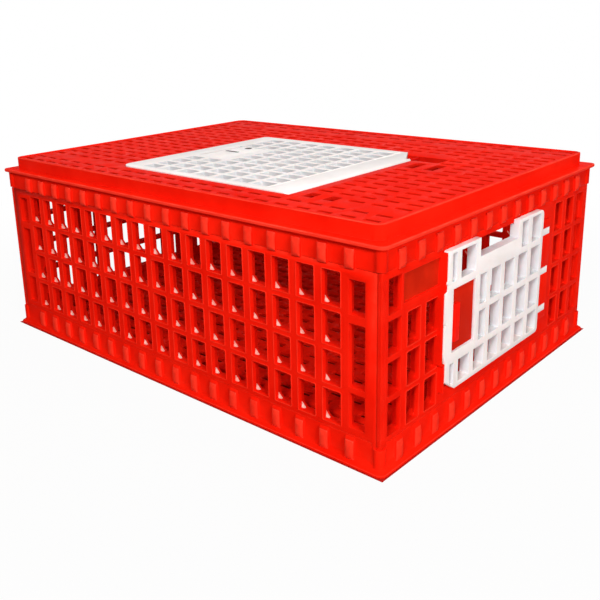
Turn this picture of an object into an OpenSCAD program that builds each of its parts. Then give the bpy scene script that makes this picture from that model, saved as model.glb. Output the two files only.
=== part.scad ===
// Two-door poultry transport crate, knock-down, moulded in polyethylene.
// Origin: centre of the footprint, on the surface the crate stands on.
// X runs along the long walls, Y along the short walls, Z up.
// A base and a roof moulding clamp four lattice walls, which are pinned
// together by a rod at each corner. One door is in the roof, one in an end.

/* [Crate] */
// Outside length over the flanges
crate_l = 780; // [760:2:820]
// Outside width over the flanges
crate_w = 580; // [570:2:610]
// Height from the ground to the top of the stacking step
crate_h = 297; // [297:1:330]
// Corner radius of the flanges
flange_r = 10; // [10:0.5:11]

/* [Bands] */
// Height of the base band
base_band_h = 37; // [33:1:38]
// Height of the roof band below its flange
roof_band_h = 28; // [26:0.5:29]
// Thickness of the roof flange
flange_t = 4.5; // [3:0.5:6]
// Height of the stacking step above the roof flange
step_h = 19; // [17:0.5:19]
// Distance from the flange edge in to the stacking step
step_inset = 16; // [16:0.5:18]
// Distance from the flange edge in to the face of the bands and the walls
band_inset = 8.5; // [7.5:0.5:9]
// How far a rib pad stands out of its band
pad_proud = 3; // [1.5:0.5:4]
// Width of a rib pad
pad_w = 13; // [8:0.5:16]

/* [Walls] */
// Thickness of a wall panel
wall_t = 14; // [13:0.5:14.5]
// Thickness of the outer face layer of a wall
face_t = 6; // [5:0.5:7]
// Columns of openings along a long wall
long_cols = 19; // [15:2:21]
// Bar spaces along an end wall
end_cols = 14; // [14:2:16]
// Rows of openings in every wall
wall_rows = 4; // [3:1:5]
// Width of a vertical bar at the face
bar_w = 12; // [9:0.5:14]
// Height of a horizontal bar at the face
rail_h = 7.5; // [6:0.5:10]
// Thickness of the blade behind a vertical bar
blade_t = 6; // [4:0.5:7]

/* [Roof and floor] */
// Thickness of the slotted roof deck
deck_t = 4; // [3:0.5:5]
// Depth of the deck below the top of the stacking step
deck_drop = 1.5; // [1:0.5:3]
// Pitch of the roof slots along the crate
slot_pitch_x = 33.5; // [31:0.5:36]
// Pitch of the roof slots across the crate
slot_pitch_y = 24.5; // [22:0.5:28]
// Length of a roof slot
slot_l = 22; // [14:0.5:24]
// Width of a roof slot
slot_w = 6.5; // [4:0.5:8]
// Thickness of the floor slab
floor_t = 5; // [4:0.5:6]

/* [Top door] */
// Length of the top door along the crate
top_door_l = 340; // [320:0.5:344]
// Width of the top door across the crate
top_door_w = 336; // [330:1:340]
// Thickness of the top door
top_door_t = 8.8; // [7:0.1:10]
// Columns of cells in the top door
top_cell_cols = 7; // [5:1:9]
// Rows of cells in the top door
top_cell_rows = 11; // [8:1:13]

/* [Side door] */
// Width of the side door across the end wall
side_door_w = 261.5; // [255:0.5:263]
// Height of the side door
side_door_h = 185.5; // [182:0.5:186]
// Thickness of the side door's front plate
side_door_t = 8; // [7.5:0.5:8]
// Columns of full cells in the side door
side_cell_cols = 6; // [5:1:7]
// Travel of the side latch
side_latch_travel = 5; // [4:0.5:5]

/* [Hidden] */

shell_red = [0.93, 0.12, 0.05];
rod_red = [0.72, 0.06, 0.03];
door_white = [0.95, 0.93, 0.92];

half_l = crate_l / 2;
half_w = crate_w / 2;
eps = 0.01;
fine = 48;

// Levels of the roof
flange_top = crate_h - step_h;
flange_bottom = flange_top - flange_t;
roof_band_bottom = flange_bottom - roof_band_h;
deck_top = crate_h - deck_drop;
deck_bottom = deck_top - deck_t;

// Levels of the base: the floor stands clear of the step of a crate below
ledge_bottom = step_h + 0.5;
ledge_top = ledge_bottom + 4;
floor_top = ledge_top + floor_t;

// Insets from the flange edge
wall_inset = band_inset + 3.5;
inner_inset = band_inset + wall_t;
ledge_inset = inner_inset + 12;
step_wall = 4;
deck_inset = step_inset + step_wall;
deck_ledge = 7.5;
deck_gap = 0.2;

// Wall grid
wall_bottom = ledge_top;
wall_top = flange_bottom;
open_bottom = base_band_h + 6.5;
open_top = roof_band_bottom - 9.5;
row_h = (open_top - open_bottom - (wall_rows - 1) * rail_h) / wall_rows;
long_margin = 20.4;
end_margin = 15;
long_pitch = (crate_l - 2 * long_margin) / long_cols;
end_pitch = (crate_w - 2 * end_margin) / end_cols;
long_post = 30.5;
end_post = 21.7;
joint_gap = 0.4;
seam = 0.6;
corner_drop = 5.5;
corner_reach = 21;
joint_x = half_l - band_inset - face_t;
post_grooves = [2, 5, 8];
groove_w = 1;
blank_depth = 3.5;
blank_plate = [[-238, 199], [-156, 234.5]];
gusset = 6;

// Rib pads of the bands: those of the long sides stand a little past the bars
long_pad_shift = 8.2;
end_pad_pitch = 39.9;
end_pad_first = -246.5;
end_pads = 13;
pad_overhang = 2.5;

// Corner rods and the knuckles they pin
rod_r = 2.5;
knuckle_depth = 12;
knuckle_h = 24;
knuckle_levels = [72, 140, 208];
rod_x = joint_x - knuckle_depth / 2;
rod_y = half_w - inner_inset + (wall_t - face_t) / 2;

// Top door
top_x0 = -160;
top_x1 = top_x0 + top_door_l;
top_y0 = -214;
top_y1 = top_y0 + top_door_w;
top_z1 = crate_h;
top_z0 = top_z1 - top_door_t;
top_gap = 1;
barrel_r = 4.5;
barrel_z = crate_h - 4.6;
top_pin_r = 2;
top_pin_fit = 0.06;
seat_z0 = crate_h - 13;
seat_w = 12;
seat_wall = 4;
trough_gap = 7;
bearing_l = 9;
pin_hold = 20;
// The rear hinge corner is cut off from top_cut_x to the end of the barrel
top_cut_x = top_x1 - 29;
barrel_y1 = top_y1 - 56;
collar_r = 3.3;
collar_l = 15;
pocket = [[top_cut_x + 7, barrel_y1 + 6], [top_x1 + 56, barrel_y1 + 40]];
pocket_wall = 3;
pocket_floor = 2;
top_border_left = 38;
top_border_right = 40;
top_border_front = 16;
top_border_rear = 22;
top_front_r = 20;
top_bar_x = 9;
top_bar_y = 8;

// Top catch
catch_travel = 6;
catch_y0 = -82;
catch_y1 = 22.5;
catch_x0 = -133;
catch_x1 = -59;
catch_plate = [[-120, -78.5], [-67, 19.5]];
catch_slot = [[-116, -29], [-86, -22]];
catch_hole = [-98, 10.5];
catch_hole_r = 6.5;
catch_nose = 13;
catch_nose_y = [-58, -38];
catch_nose_t = 3.2;
catch_lip_x = [-110, -90];
catch_drop = 7.9;
catch_lip = 2.2;

// End door opening and side door
face_x = half_l - band_inset;
end_open_y0 = -152;
end_open_z0 = 58.5;
side_y0 = -155.5;
side_y1 = side_y0 + side_door_w;
end_open_y1 = side_y1 - 3.5;
side_z0 = 55.5;
side_z1 = side_z0 + side_door_h;
side_x0 = face_x + 0.4;
side_x1 = side_x0 + side_door_t;
side_back = 5;
side_back_gap = 1.5;
side_bar_w = 11;
side_frame = [10, 8];
side_first = 31;
side_pitch = (side_door_w - side_first - side_frame[1] + side_bar_w) / side_cell_cols;
side_levels = [58, 97, 146.5, 196, 241];
side_rail_h = 9;
tab_w = 6;
tab_z = [98, 190];
notch_y = [-77, 28.5];
notch_z = 216;
latch_win = [[-142, 107], [-87, 190.5]];
latch_cell_y = -75;
latch_pocket = [[-157.3, 102.5], [-76.5, 195]];
pocket_skin = 3.2;

// Side door hinge
hinge_x = side_x0 + 3.1;
hinge_y = side_y1 + 25;
hinge_pin_r = 1.6;
hinge_fit = 0.06;
lug_r = 3.1;
lug_h = 9.5;
lug_levels = [86.5, 145.3, 204.5];
house_y0 = hinge_y - 20;
house_y1 = hinge_y + 5;
house_z0 = 70;
house_z1 = 222;
house_skin = 2.6;

// Side latch
latch_t = 2.5;
latch_y = [-149, -77.5];
latch_x0 = side_x1 - pocket_skin - 0.3 - latch_t;
latch_grip = [[-136, 119], [-124, 169]];
latch_lip_y = [-125, -95];
nose_y0 = -151;
nose_y1 = -130;
nose_stem = 7.5;
nose_x0 = side_x0 - side_back - 5.4;
nose_t = 5;
nose_z = [140, 154];

// ---------- outlines and sweeps ----------

function arc_points(cx, cy, r, a0, steps = 6) =
    [for (i = [0:steps]) [cx + r * cos(a0 + 90 * i / steps), cy + r * sin(a0 + 90 * i / steps)]];

// Rectangle with rounded corners, from its low corner to its high one
function soft_rect(lo, hi, r) = concat(
    arc_points(hi[0] - r, hi[1] - r, r, 0),
    arc_points(lo[0] + r, hi[1] - r, r, 90),
    arc_points(lo[0] + r, lo[1] + r, r, 180),
    arc_points(hi[0] - r, lo[1] + r, r, 270)
);

// Block between two opposite corners
module block(lo, hi) {
    translate(lo) cube(hi - lo);
}

// Rectangle between two opposite corners
module rect(lo, hi) {
    translate(lo) square(hi - lo);
}

// Flat rectangular ring between two insets from the flange edge
module ring(outer, inner, z0, z1, outer_r = 0) {
    translate([0, 0, z0]) linear_extrude(z1 - z0) difference() {
        if (outer_r > 0)
            polygon(soft_rect([outer - half_l, outer - half_w], [half_l - outer, half_w - outer], outer_r));
        else
            rect([outer - half_l, outer - half_w], [half_l - outer, half_w - outer]);
        rect([inner - half_l, inner - half_w], [half_l - inner, half_w - inner]);
    }
}

// Sweeps a profile round the crate: its x is the distance out from the
// centre of a corner of radius r, and the corner stands inset from the flange edge
module swept_ring(inset, r) {
    cx = half_l - inset - r;
    cy = half_w - inset - r;
    for (i = [0:3]) {
        sx = (i == 0 || i == 3) ? 1 : -1;
        sy = (i < 2) ? 1 : -1;
        run = (i % 2 == 0) ? 2 * cy : 2 * cx;
        translate([sx * cx, sy * cy, 0]) rotate([0, 0, 90 * i]) {
            rotate_extrude(angle = 90, $fn = fine) children();
            rotate([90, 0, 0]) linear_extrude(run) children();
        }
    }
}

// Draws a wall outline (across, up) as a slab whose outer face lies in +X
module end_slab(outer_x, t) {
    translate([outer_x - t, 0, 0]) rotate([90, 0, 90]) linear_extrude(t) children();
}

// Draws a wall outline (along, up) as a slab whose outer face lies in -Y
module long_slab(outer_y, t) {
    translate([0, outer_y + t, 0]) rotate([90, 0, 0]) linear_extrude(t) children();
}

// ---------- bands ----------

// One rib pad on the +X side: sloped at both ends, and hanging over the lower
// edge of its band where band_z is above z0
module rib_pad(half_span, z0, z1, slope_top, slope_bottom, band_z) {
    face = half_span - band_inset;
    foot = z0 < band_z ? [[face - 1, band_z], [face + 0.1, band_z], [face + 0.1, z0]] : [[face - 1, z0]];
    rotate([90, 0, 0]) linear_extrude(pad_w, center = true) polygon(concat(foot, [
        [face + pad_proud, z0 + slope_bottom],
        [face + pad_proud, z1 - slope_top],
        [face, z1],
        [face - 1, z1]
    ]));
}

// All rib pads of one band
module band_pads(z0, z1, slope_top, slope_bottom, band_z) {
    for (side = [0, 180]) rotate([0, 0, side]) {
        for (i = [0:end_pads - 1])
            translate([0, end_pad_first + i * end_pad_pitch, 0])
                rib_pad(half_l, z0, z1, slope_top, slope_bottom, band_z);
        rotate([0, 0, 270])
            for (i = [1:long_cols - 1])
                translate([0, (i - long_cols / 2) * long_pitch + long_pad_shift, 0])
                    rib_pad(half_w, z0, z1, slope_top, slope_bottom, band_z);
    }
}

// Rounded pad at each corner of a band
module corner_pads(z0, z1) {
    reach = pad_w + 1;
    edge = band_inset - pad_proud;
    for (sx = [-1, 1], sy = [-1, 1]) scale([sx, sy, 1])
        translate([half_l - edge - reach, half_w - edge - reach, z0])
            linear_extrude(z1 - z0) polygon(soft_rect([0, 0], [reach, reach], 6.5));
}

module wall_space(z0, z1) {
    block([wall_inset - half_l, wall_inset - half_w, z0], [half_l - wall_inset, half_w - wall_inset, z1]);
}

// The four upright corners outside of reach, from z0 to z1
module corner_blocks(reach, z0, z1) {
    for (sx = [-1, 1], sy = [-1, 1]) scale([sx, sy, 1])
        block([half_l - reach, half_w - reach, z0], [half_l + 1, half_w + 1, z1]);
}

module base_skirt() {
    corner_z = base_band_h - corner_drop;
    color(shell_red) union() {
        difference() {
            union() {
                swept_ring(0, flange_r) polygon([
                    [0, 0],
                    [flange_r - 0.8, 0],
                    [flange_r, 0.8],
                    [flange_r, 3],
                    [flange_r - 2.5, 4.4],
                    [flange_r - 6, 7],
                    [flange_r - band_inset, 12],
                    [flange_r - band_inset, base_band_h],
                    [0, base_band_h]
                ]);
                ring(flange_r - 0.5, wall_inset, 0, base_band_h);
            }
            // the corner posts of the walls reach down into the band
            corner_blocks(corner_reach, corner_z, base_band_h + 1);
        }
        difference() {
            union() {
                band_pads(5, base_band_h - 2.5, 2.5, 0, 5);
                corner_pads(5, corner_z);
            }
            wall_space(0, base_band_h + 1);
        }
        ring(wall_inset - 0.5, wall_inset + 3.5, 0, 4);
        ring(wall_inset - 0.5, ledge_inset, ledge_bottom, ledge_top);
    }
}

module roof_frame() {
    step_r = 14;
    top_edge = 1.4;
    color(shell_red) union() {
        swept_ring(0, flange_r) polygon([
            [0, roof_band_bottom],
            [flange_r - band_inset, roof_band_bottom],
            [flange_r - band_inset, flange_bottom],
            [flange_r - 1, flange_bottom],
            [flange_r, flange_bottom + 1],
            [flange_r, flange_top - 1],
            [flange_r - 1, flange_top],
            [0, flange_top]
        ]);
        difference() {
            union() {
                band_pads(roof_band_bottom - pad_overhang, flange_bottom - 7, 7, 1.5,
                    roof_band_bottom);
                corner_pads(roof_band_bottom + 1.5, flange_bottom + 1);
            }
            wall_space(roof_band_bottom, flange_bottom + 2);
        }
        ring(flange_r - 0.5, wall_inset, roof_band_bottom, flange_bottom + 1);
        ring(flange_r - 0.5, deck_inset + deck_ledge, flange_bottom, flange_top);
        swept_ring(step_inset, step_r) polygon([
            [step_r - step_wall, flange_top],
            [step_r, flange_top],
            [step_r, crate_h - top_edge],
            [step_r - top_edge, crate_h],
            [step_r - step_wall, crate_h]
        ]);
        ring(step_inset + 2, deck_inset + deck_ledge, deck_bottom - 4, deck_bottom, step_r - 2);
    }
}

// ---------- roof deck ----------

frame_x0 = top_x0 - top_gap - seat_wall;
frame_x1 = top_x1 + barrel_r + trough_gap + seat_wall;
frame_y0 = top_y0 - top_gap - seat_wall;
frame_y1 = top_y1 + top_gap + seat_wall;
trough_x = [top_x1 - barrel_r - 0.5, frame_x1 - seat_wall];
trough_end = barrel_y1 + top_gap;
bearing_y0 = top_y0 - top_gap - bearing_l;
bearing_y1 = pocket[1][1] + bearing_l;

slot_cols = floor((half_l - deck_inset - 6.5 - slot_l / 2) / slot_pitch_x - 0.5);
field_rows = [for (k = [-8:8]) k * slot_pitch_y];
strip_rows = [31 - half_w, 55 - half_w, half_w - 55, half_w - 31];
// Two columns beside the hinge have a wide hole in place of some slots
wide_col = ceil((frame_x1 + slot_l / 2 + 3) / slot_pitch_x - 0.5);
wide_rows = [-8 * slot_pitch_y, slot_pitch_y, 2 * slot_pitch_y];
wide_w = 16;
wide_spans = [[-8.65 * slot_pitch_y, -7.75 * slot_pitch_y], [0.77 * slot_pitch_y, 2.4 * slot_pitch_y]];

function near_top_door(x, y) =
    x > frame_x0 - slot_l / 2 - 3 && x < frame_x1 + slot_l / 2 + 3
    && y > frame_y0 - slot_w / 2 - 0.4 && y < frame_y1 + slot_w / 2 + 1;

function near_pocket(x, y) =
    x > frame_x1 && x < pocket[1][0] + pocket_wall + slot_l / 2 + 1
    && y > pocket[0][1] - pocket_wall - slot_w / 2 - 1 && y < frame_y1 + slot_w / 2 + 1;

function is_wide(i, y) = (i == wide_col || i == wide_col + 1) && min([for (w = wide_rows) abs(w - y)]) < 1;

module deck_slots() {
    for (i = [-slot_cols - 1:slot_cols], y = concat(field_rows, strip_rows)) {
        x = (i + 0.5) * slot_pitch_x;
        if (!near_top_door(x, y) && !near_pocket(x, y) && !is_wide(i, y))
            translate([x - slot_l / 2, y - slot_w / 2]) square([slot_l, slot_w]);
    }
    for (i = [wide_col, wide_col + 1], span = wide_spans) {
        x = (i + 0.5) * slot_pitch_x;
        rect([x - wide_w / 2, span[0]], [x + wide_w / 2, span[1]]);
    }
}

// Opening that the top door closes, with the seat left standing round it
module deck_opening() {
    cut = seat_w - 1;
    polygon([
        [top_x0 + seat_w, top_y0 + seat_w],
        [trough_x[1], top_y0 + seat_w],
        [trough_x[1], trough_end],
        [top_x1 - cut, trough_end],
        [top_cut_x - 7, top_y1 - seat_w],
        [top_x0 + seat_w, top_y1 - seat_w]
    ]);
}

// Outline of the top door, grown by a gap
module top_outline(gap) {
    offset(delta = gap) polygon(concat(
        [[top_x1, top_y0], [top_x1, barrel_y1 + 6], [top_cut_x, top_y1]],
        arc_points(top_x0 + 8, top_y1 - 8, 8, 90),
        arc_points(top_x0 + top_front_r, top_y0 + top_front_r, top_front_r, 180)
    ));
}

module roof_deck() {
    lo = deck_inset + deck_gap;
    floor_z = seat_z0 + pocket_floor;
    color(shell_red) difference() {
        union() {
            translate([0, 0, deck_bottom]) linear_extrude(deck_t) difference() {
                polygon(soft_rect([lo - half_l, lo - half_w], [half_l - lo, half_w - lo], 9.5));
                deck_slots();
                deck_opening();
            }
            translate([0, 0, seat_z0]) linear_extrude(deck_bottom - seat_z0 + 1) difference() {
                union() {
                    rect([frame_x0, frame_y0], [frame_x1, frame_y1]);
                    rect([trough_x[0], pocket[0][1] - pocket_wall], [pocket[1][0] + pocket_wall, frame_y1]);
                }
                deck_opening();
            }
            block([trough_x[0] - 3, bearing_y0, seat_z0], [frame_x1, frame_y0 + 1, deck_bottom + 1]);
            // stiffening ribs under the deck, between the columns of slots
            for (k = [-10, -8, -6, 7, 9])
                block([k * slot_pitch_x - 1.5, 40 - half_w, deck_bottom - 4],
                    [k * slot_pitch_x + 1.5, half_w - 40, deck_bottom + 1]);
        }
        // rebate that the door lies in
        translate([0, 0, top_z0 - 0.2]) linear_extrude(20) top_outline(top_gap);
        // trough for the barrel and pocket for its rear pin
        block([trough_x[0], top_y0 - top_gap, seat_z0 - 1], [trough_x[1], trough_end, deck_top + 1]);
        block([pocket[0][0], trough_end - eps, floor_z], [trough_x[1], pocket[0][1] + 1, deck_top + 1]);
        block([pocket[0][0], pocket[0][1], floor_z], [pocket[1][0], pocket[1][1], deck_top + 1]);
        // blind bearings of the two hinge pins
        translate([top_x1, bearing_y1 - 0.5, barrel_z]) rotate([90, 0, 0])
            cylinder(h = bearing_y1 - bearing_y0 - 1, r = top_pin_r + top_pin_fit, $fn = fine);
    }
}

module floor_grille() {
    lo = inner_inset + deck_gap;
    hole = [20, 11];
    cols = floor((half_l - lo - 12 - hole[0] / 2) / slot_pitch_x - 0.5);
    rows = floor((half_w - lo - 8 - hole[1] / 2) / slot_pitch_y);
    color(shell_red) union() {
        translate([0, 0, ledge_top]) linear_extrude(floor_t) difference() {
            rect([lo - half_l, lo - half_w], [half_l - lo, half_w - lo]);
            for (i = [-cols - 1:cols], k = [-rows:rows])
                translate([(i + 0.5) * slot_pitch_x - hole[0] / 2, k * slot_pitch_y - hole[1] / 2])
                    square(hole);
        }
        // ribs under the slab, inside the ledge that carries it
        for (k = [-3:3])
            block([k * 3 * slot_pitch_x - 2, ledge_inset + 1 - half_w, ledge_top - 3.5],
                [k * 3 * slot_pitch_x + 2, half_w - ledge_inset - 1, ledge_top + 1]);
    }
}

// ---------- walls ----------

function row_bottom(r) = open_bottom + r * (row_h + rail_h);

// One opening of the back layer, with a gusset in each lower corner
module back_cell(x0, x1, z0, z1) {
    polygon([
        [x0 + gusset, z0], [x1 - gusset, z0], [x1, z0 + gusset],
        [x1, z1], [x0, z1], [x0, z0 + gusset]
    ]);
}

// Space that the bands take outside the tongues of the walls
module band_rebates() {
    ring(-1, wall_inset, wall_bottom - 1, base_band_h - corner_drop + seam);
    difference() {
        ring(-1, wall_inset, wall_bottom - 1, base_band_h + seam);
        corner_blocks(corner_reach - seam, 0, base_band_h + 2);
    }
    ring(-1, wall_inset, roof_band_bottom - seam, wall_top + 1);
}

// Openings of the narrow column beside each corner post
module corner_column(x0, x1) {
    low_bar = [row_bottom(1) - 2, row_bottom(1) + 5];
    high_bar = [row_bottom(wall_rows - 1) - 15.5, row_bottom(wall_rows - 1) - 5];
    rect([x0, open_bottom + 2.8], [x1, low_bar[0]]);
    rect([x0, low_bar[1]], [x1, high_bar[0]]);
    rect([x0, high_bar[1]], [x1, open_top - 5]);
}

module long_face() {
    edge = joint_x - joint_gap;
    post_in = half_l - long_post;
    first_bar = half_l - long_margin - long_pitch;
    difference() {
        rect([-edge, wall_bottom], [edge, wall_top]);
        for (c = [1:long_cols - 2], r = [0:wall_rows - 1]) {
            x = (c - long_cols / 2) * long_pitch;
            rect([x + bar_w / 2, row_bottom(r)], [x + long_pitch - bar_w / 2, row_bottom(r) + row_h]);
        }
        corner_column(first_bar + bar_w / 2, post_in);
        corner_column(-post_in, -first_bar - bar_w / 2);
    }
}

module long_back() {
    edge = joint_x - joint_gap;
    post_in = half_l - long_post;
    first_bar = half_l - long_margin - long_pitch;
    rise = (rail_h - blade_t) / 2;
    difference() {
        rect([-edge, wall_bottom], [edge, wall_top]);
        for (c = [1:long_cols - 2], r = [0:wall_rows - 1]) {
            x = (c - long_cols / 2) * long_pitch;
            back_cell(x + blade_t / 2, x + long_pitch - blade_t / 2,
                row_bottom(r) - rise, row_bottom(r) + row_h + rise);
        }
        corner_column(first_bar + blade_t / 2, post_in);
        corner_column(-post_in, -first_bar - blade_t / 2);
        for (side = [-1, 1], z = knuckle_levels)
            translate([side * (joint_x - knuckle_depth / 2), z])
                square([knuckle_depth, knuckle_h], center = true);
    }
}

module long_wall() {
    outer_y = band_inset - half_w;
    color(shell_red) difference() {
        union() {
            long_slab(outer_y, face_t) long_face();
            long_slab(outer_y + face_t, wall_t - face_t) long_back();
        }
        band_rebates();
        for (side = [-1, 1])
            translate([side * rod_x, -rod_y, wall_bottom - 1])
                cylinder(h = wall_top - wall_bottom + 2, r = rod_r, $fn = fine);
    }
}

module front_wall() {
    long_wall();
}

module rear_wall() {
    rotate([0, 0, 180]) long_wall();
}

// Openings of an end wall; opening_at says whether a cell is open
module end_cells(w, rise, open_cells, back) {
    last = end_cols / 2 - 1;
    post_in = half_w - end_post;
    for (c = [-last:last - 1], r = [0:wall_rows - 1])
        if (open_cells[c + last][r] == 1) {
            y0 = c * end_pitch + w / 2;
            y1 = (c + 1) * end_pitch - w / 2;
            if (back)
                back_cell(y0, y1, row_bottom(r) - rise, row_bottom(r) + row_h + rise);
            else
                rect([y0, row_bottom(r)], [y1, row_bottom(r) + row_h]);
        }
    for (side = [-1, 1], r = [0:wall_rows - 1]) {
        inner = last * end_pitch + w / 2;
        rect([min(side * inner, side * post_in), row_bottom(r)],
            [max(side * inner, side * post_in), row_bottom(r) + row_h]);
    }
}

// A full column of open cells, and one with its top cell blank
open_column = [for (r = [1:wall_rows]) 1];
blank_top = [for (r = [1:wall_rows]) r == wall_rows ? 0 : 1];
closed_column = [for (r = [1:wall_rows]) 0];
last_col = end_cols / 2 - 1;
door_end_cells = [for (c = [-last_col:last_col - 1])
    c < -last_col + 2 ? blank_top : c <= 3 ? closed_column : open_column];
plain_end_cells = [for (c = [-last_col:last_col - 1]) (c >= -2 && c < 2) ? blank_top : open_column];

module end_wall_body(cells) {
    edge = half_w - band_inset;
    back_edge = half_w - inner_inset;
    groove_z = (open_bottom + open_top) / 2;
    groove_h = open_top - open_bottom;
    difference() {
        union() {
            end_slab(face_x, face_t) difference() {
                rect([-edge, wall_bottom], [edge, wall_top]);
                end_cells(bar_w, 0, cells, false);
            }
            end_slab(face_x - face_t, wall_t - face_t) difference() {
                rect([-back_edge, wall_bottom], [back_edge, wall_top]);
                end_cells(blade_t, (rail_h - blade_t) / 2, cells, true);
            }
            for (side = [-1, 1], z = knuckle_levels) scale([1, side, 1])
                block([joint_x - knuckle_depth, back_edge - 0.5, z - knuckle_h / 2],
                    [joint_x + 0.5, back_edge + wall_t - face_t, z + knuckle_h / 2]);
        }
        band_rebates();
        for (side = [-1, 1]) {
            translate([rod_x, side * rod_y, wall_bottom - 1])
                cylinder(h = wall_top - wall_bottom + 2, r = rod_r, $fn = fine);
            // fine grooves down the corner post
            for (inset = post_grooves)
                translate([face_x, side * (edge - inset), groove_z])
                    cube([2, groove_w, groove_h], center = true);
            translate([face_x - post_grooves[0] - 0.8, side * edge, groove_z])
                cube([groove_w, 2, groove_h], center = true);
        }
    }
}

module hinge_housing() {
    difference() {
        block([face_x - 1, house_y0, house_z0], [hinge_x + house_skin, house_y1, house_z1]);
        for (z = lug_levels)
            block([face_x, house_y0 - 1, z - lug_h / 2 - 0.5],
                [hinge_x + 6, hinge_y + 5.5, z + lug_h / 2 + 0.5]);
        translate([hinge_x, hinge_y, house_z0 + 4])
            cylinder(h = house_z1 - house_z0, r = hinge_pin_r, $fn = fine);
    }
}

module door_end_wall() {
    color(shell_red) difference() {
        union() {
            end_wall_body(door_end_cells);
            hinge_housing();
        }
        // doorway
        block([face_x - wall_t - 1, end_open_y0, end_open_z0], [face_x + 1, end_open_y1, open_top]);
        // recessed blank plate above the left-hand cells
        block([face_x - blank_depth, blank_plate[0][0], blank_plate[0][1]],
            [face_x + 1, blank_plate[1][0], blank_plate[1][1]]);
        // pocket that takes the nose of the latch
        block([nose_x0 - 0.5, nose_y0 - side_latch_travel - 0.8, nose_z[0] - 0.8],
            [nose_x0 + nose_t + 0.5, end_open_y0 + 1, nose_z[1] + 0.8]);
    }
}

module plain_end_wall() {
    grip_half = 55;
    grip_h = 28;
    color(shell_red) rotate([0, 0, 180]) difference() {
        end_wall_body(plain_end_cells);
        // hand-hold with its round ends
        translate([face_x - wall_t - 1, 0, 0]) rotate([90, 0, 90]) linear_extrude(wall_t + 2)
            polygon(soft_rect([-grip_half, open_top - grip_h], [grip_half, open_top], 10));
    }
}

module corner_rod(sx, sy) {
    color(rod_red) translate([sx * rod_x, sy * rod_y, wall_bottom])
        cylinder(h = wall_top - wall_bottom, r = rod_r, $fn = fine);
}

module front_left_corner_rod() {
    corner_rod(-1, -1);
}

module front_right_corner_rod() {
    corner_rod(1, -1);
}

module rear_left_corner_rod() {
    corner_rod(-1, 1);
}

module rear_right_corner_rod() {
    corner_rod(1, 1);
}

// ---------- top door ----------

catch_window = [catch_plate[0] - [catch_travel + 1, 1], catch_plate[1] + [1, 1]];
catch_recess = [[catch_x0 - catch_travel - 1, catch_y0 - 1], [catch_x1 + 1, catch_y1 + 1]];

module top_cells() {
    x0 = top_x0 + top_border_left;
    x1 = top_x1 - top_border_right;
    y0 = top_y0 + top_border_front;
    y1 = top_y1 - top_border_rear;
    px = (x1 - x0 + top_bar_x) / top_cell_cols;
    py = (y1 - y0 + top_bar_y) / top_cell_rows;
    for (c = [0:top_cell_cols - 1], r = [0:top_cell_rows - 1]) {
        lo = [x0 + c * px, y0 + r * py];
        hi = lo + [px - top_bar_x, py - top_bar_y];
        clear_of_catch = lo[0] > catch_recess[1][0] + 0.9 || hi[0] < catch_recess[0][0] - 0.9
            || lo[1] > catch_recess[1][1] + 0.9 || hi[1] < catch_recess[0][1] - 0.9;
        if (clear_of_catch) rect(lo, hi);
    }
}

module top_door() {
    collar_y1 = barrel_y1 + collar_l;
    color(door_white) difference() {
        union() {
            translate([0, 0, top_z0]) linear_extrude(top_door_t) difference() {
                top_outline(0);
                top_cells();
            }
            translate([top_x1, barrel_y1, barrel_z]) rotate([90, 0, 0])
                cylinder(h = barrel_y1 - top_y0, r = barrel_r, $fn = fine);
            translate([top_x1, collar_y1, barrel_z]) rotate([90, 0, 0])
                cylinder(h = collar_l + 1, r = collar_r, $fn = fine);
            // lips that hold the catch up in its recess
            for (side = [0, 1]) {
                y = side == 0 ? catch_recess[0][1] : catch_recess[1][1];
                out = side == 0 ? -catch_lip : catch_lip;
                block([catch_lip_x[0], y - 1.5 * catch_lip, top_z0 - 1.9],
                    [catch_lip_x[1], y + 1.5 * catch_lip, top_z0]);
                block([catch_lip_x[0], min(y, y + out), top_z0 - 1.9],
                    [catch_lip_x[1], max(y, y + out), top_z0 + 1]);
            }
        }
        // recess for the catch plate, from below, and the window above it
        block([catch_recess[0][0], catch_recess[0][1], top_z0],
            [catch_recess[1][0], catch_recess[1][1], top_z0 + 4.6]);
        block([catch_window[0][0], catch_window[0][1], top_z0 + 1],
            [catch_window[1][0], catch_window[1][1], top_z1 + 1]);
        // shadow line between the lattice and the smooth hinge edge
        block([top_x1 - top_border_right + 2, top_y0 + 8, top_z1 - 0.8],
            [top_x1 - top_border_right + 4.5, top_y1 - 8, top_z1 + 1]);
        // bores for the hinge pins
        for (y = [top_y0 + pin_hold, collar_y1 + 1])
            translate([top_x1, y, barrel_z]) rotate([90, 0, 0])
                cylinder(h = pin_hold + 1, r = top_pin_r, $fn = fine);
    }
}

module top_pin(y0, y1) {
    color(rod_red) translate([top_x1, y1, barrel_z]) rotate([90, 0, 0])
        cylinder(h = y1 - y0, r = top_pin_r, $fn = fine);
}

module top_door_front_pin() {
    top_pin(bearing_y0 + 1, top_y0 + pin_hold - 1);
}

module top_door_rear_pin() {
    top_pin(barrel_y1 + collar_l - pin_hold + 1, bearing_y1 - 1);
}

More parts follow.
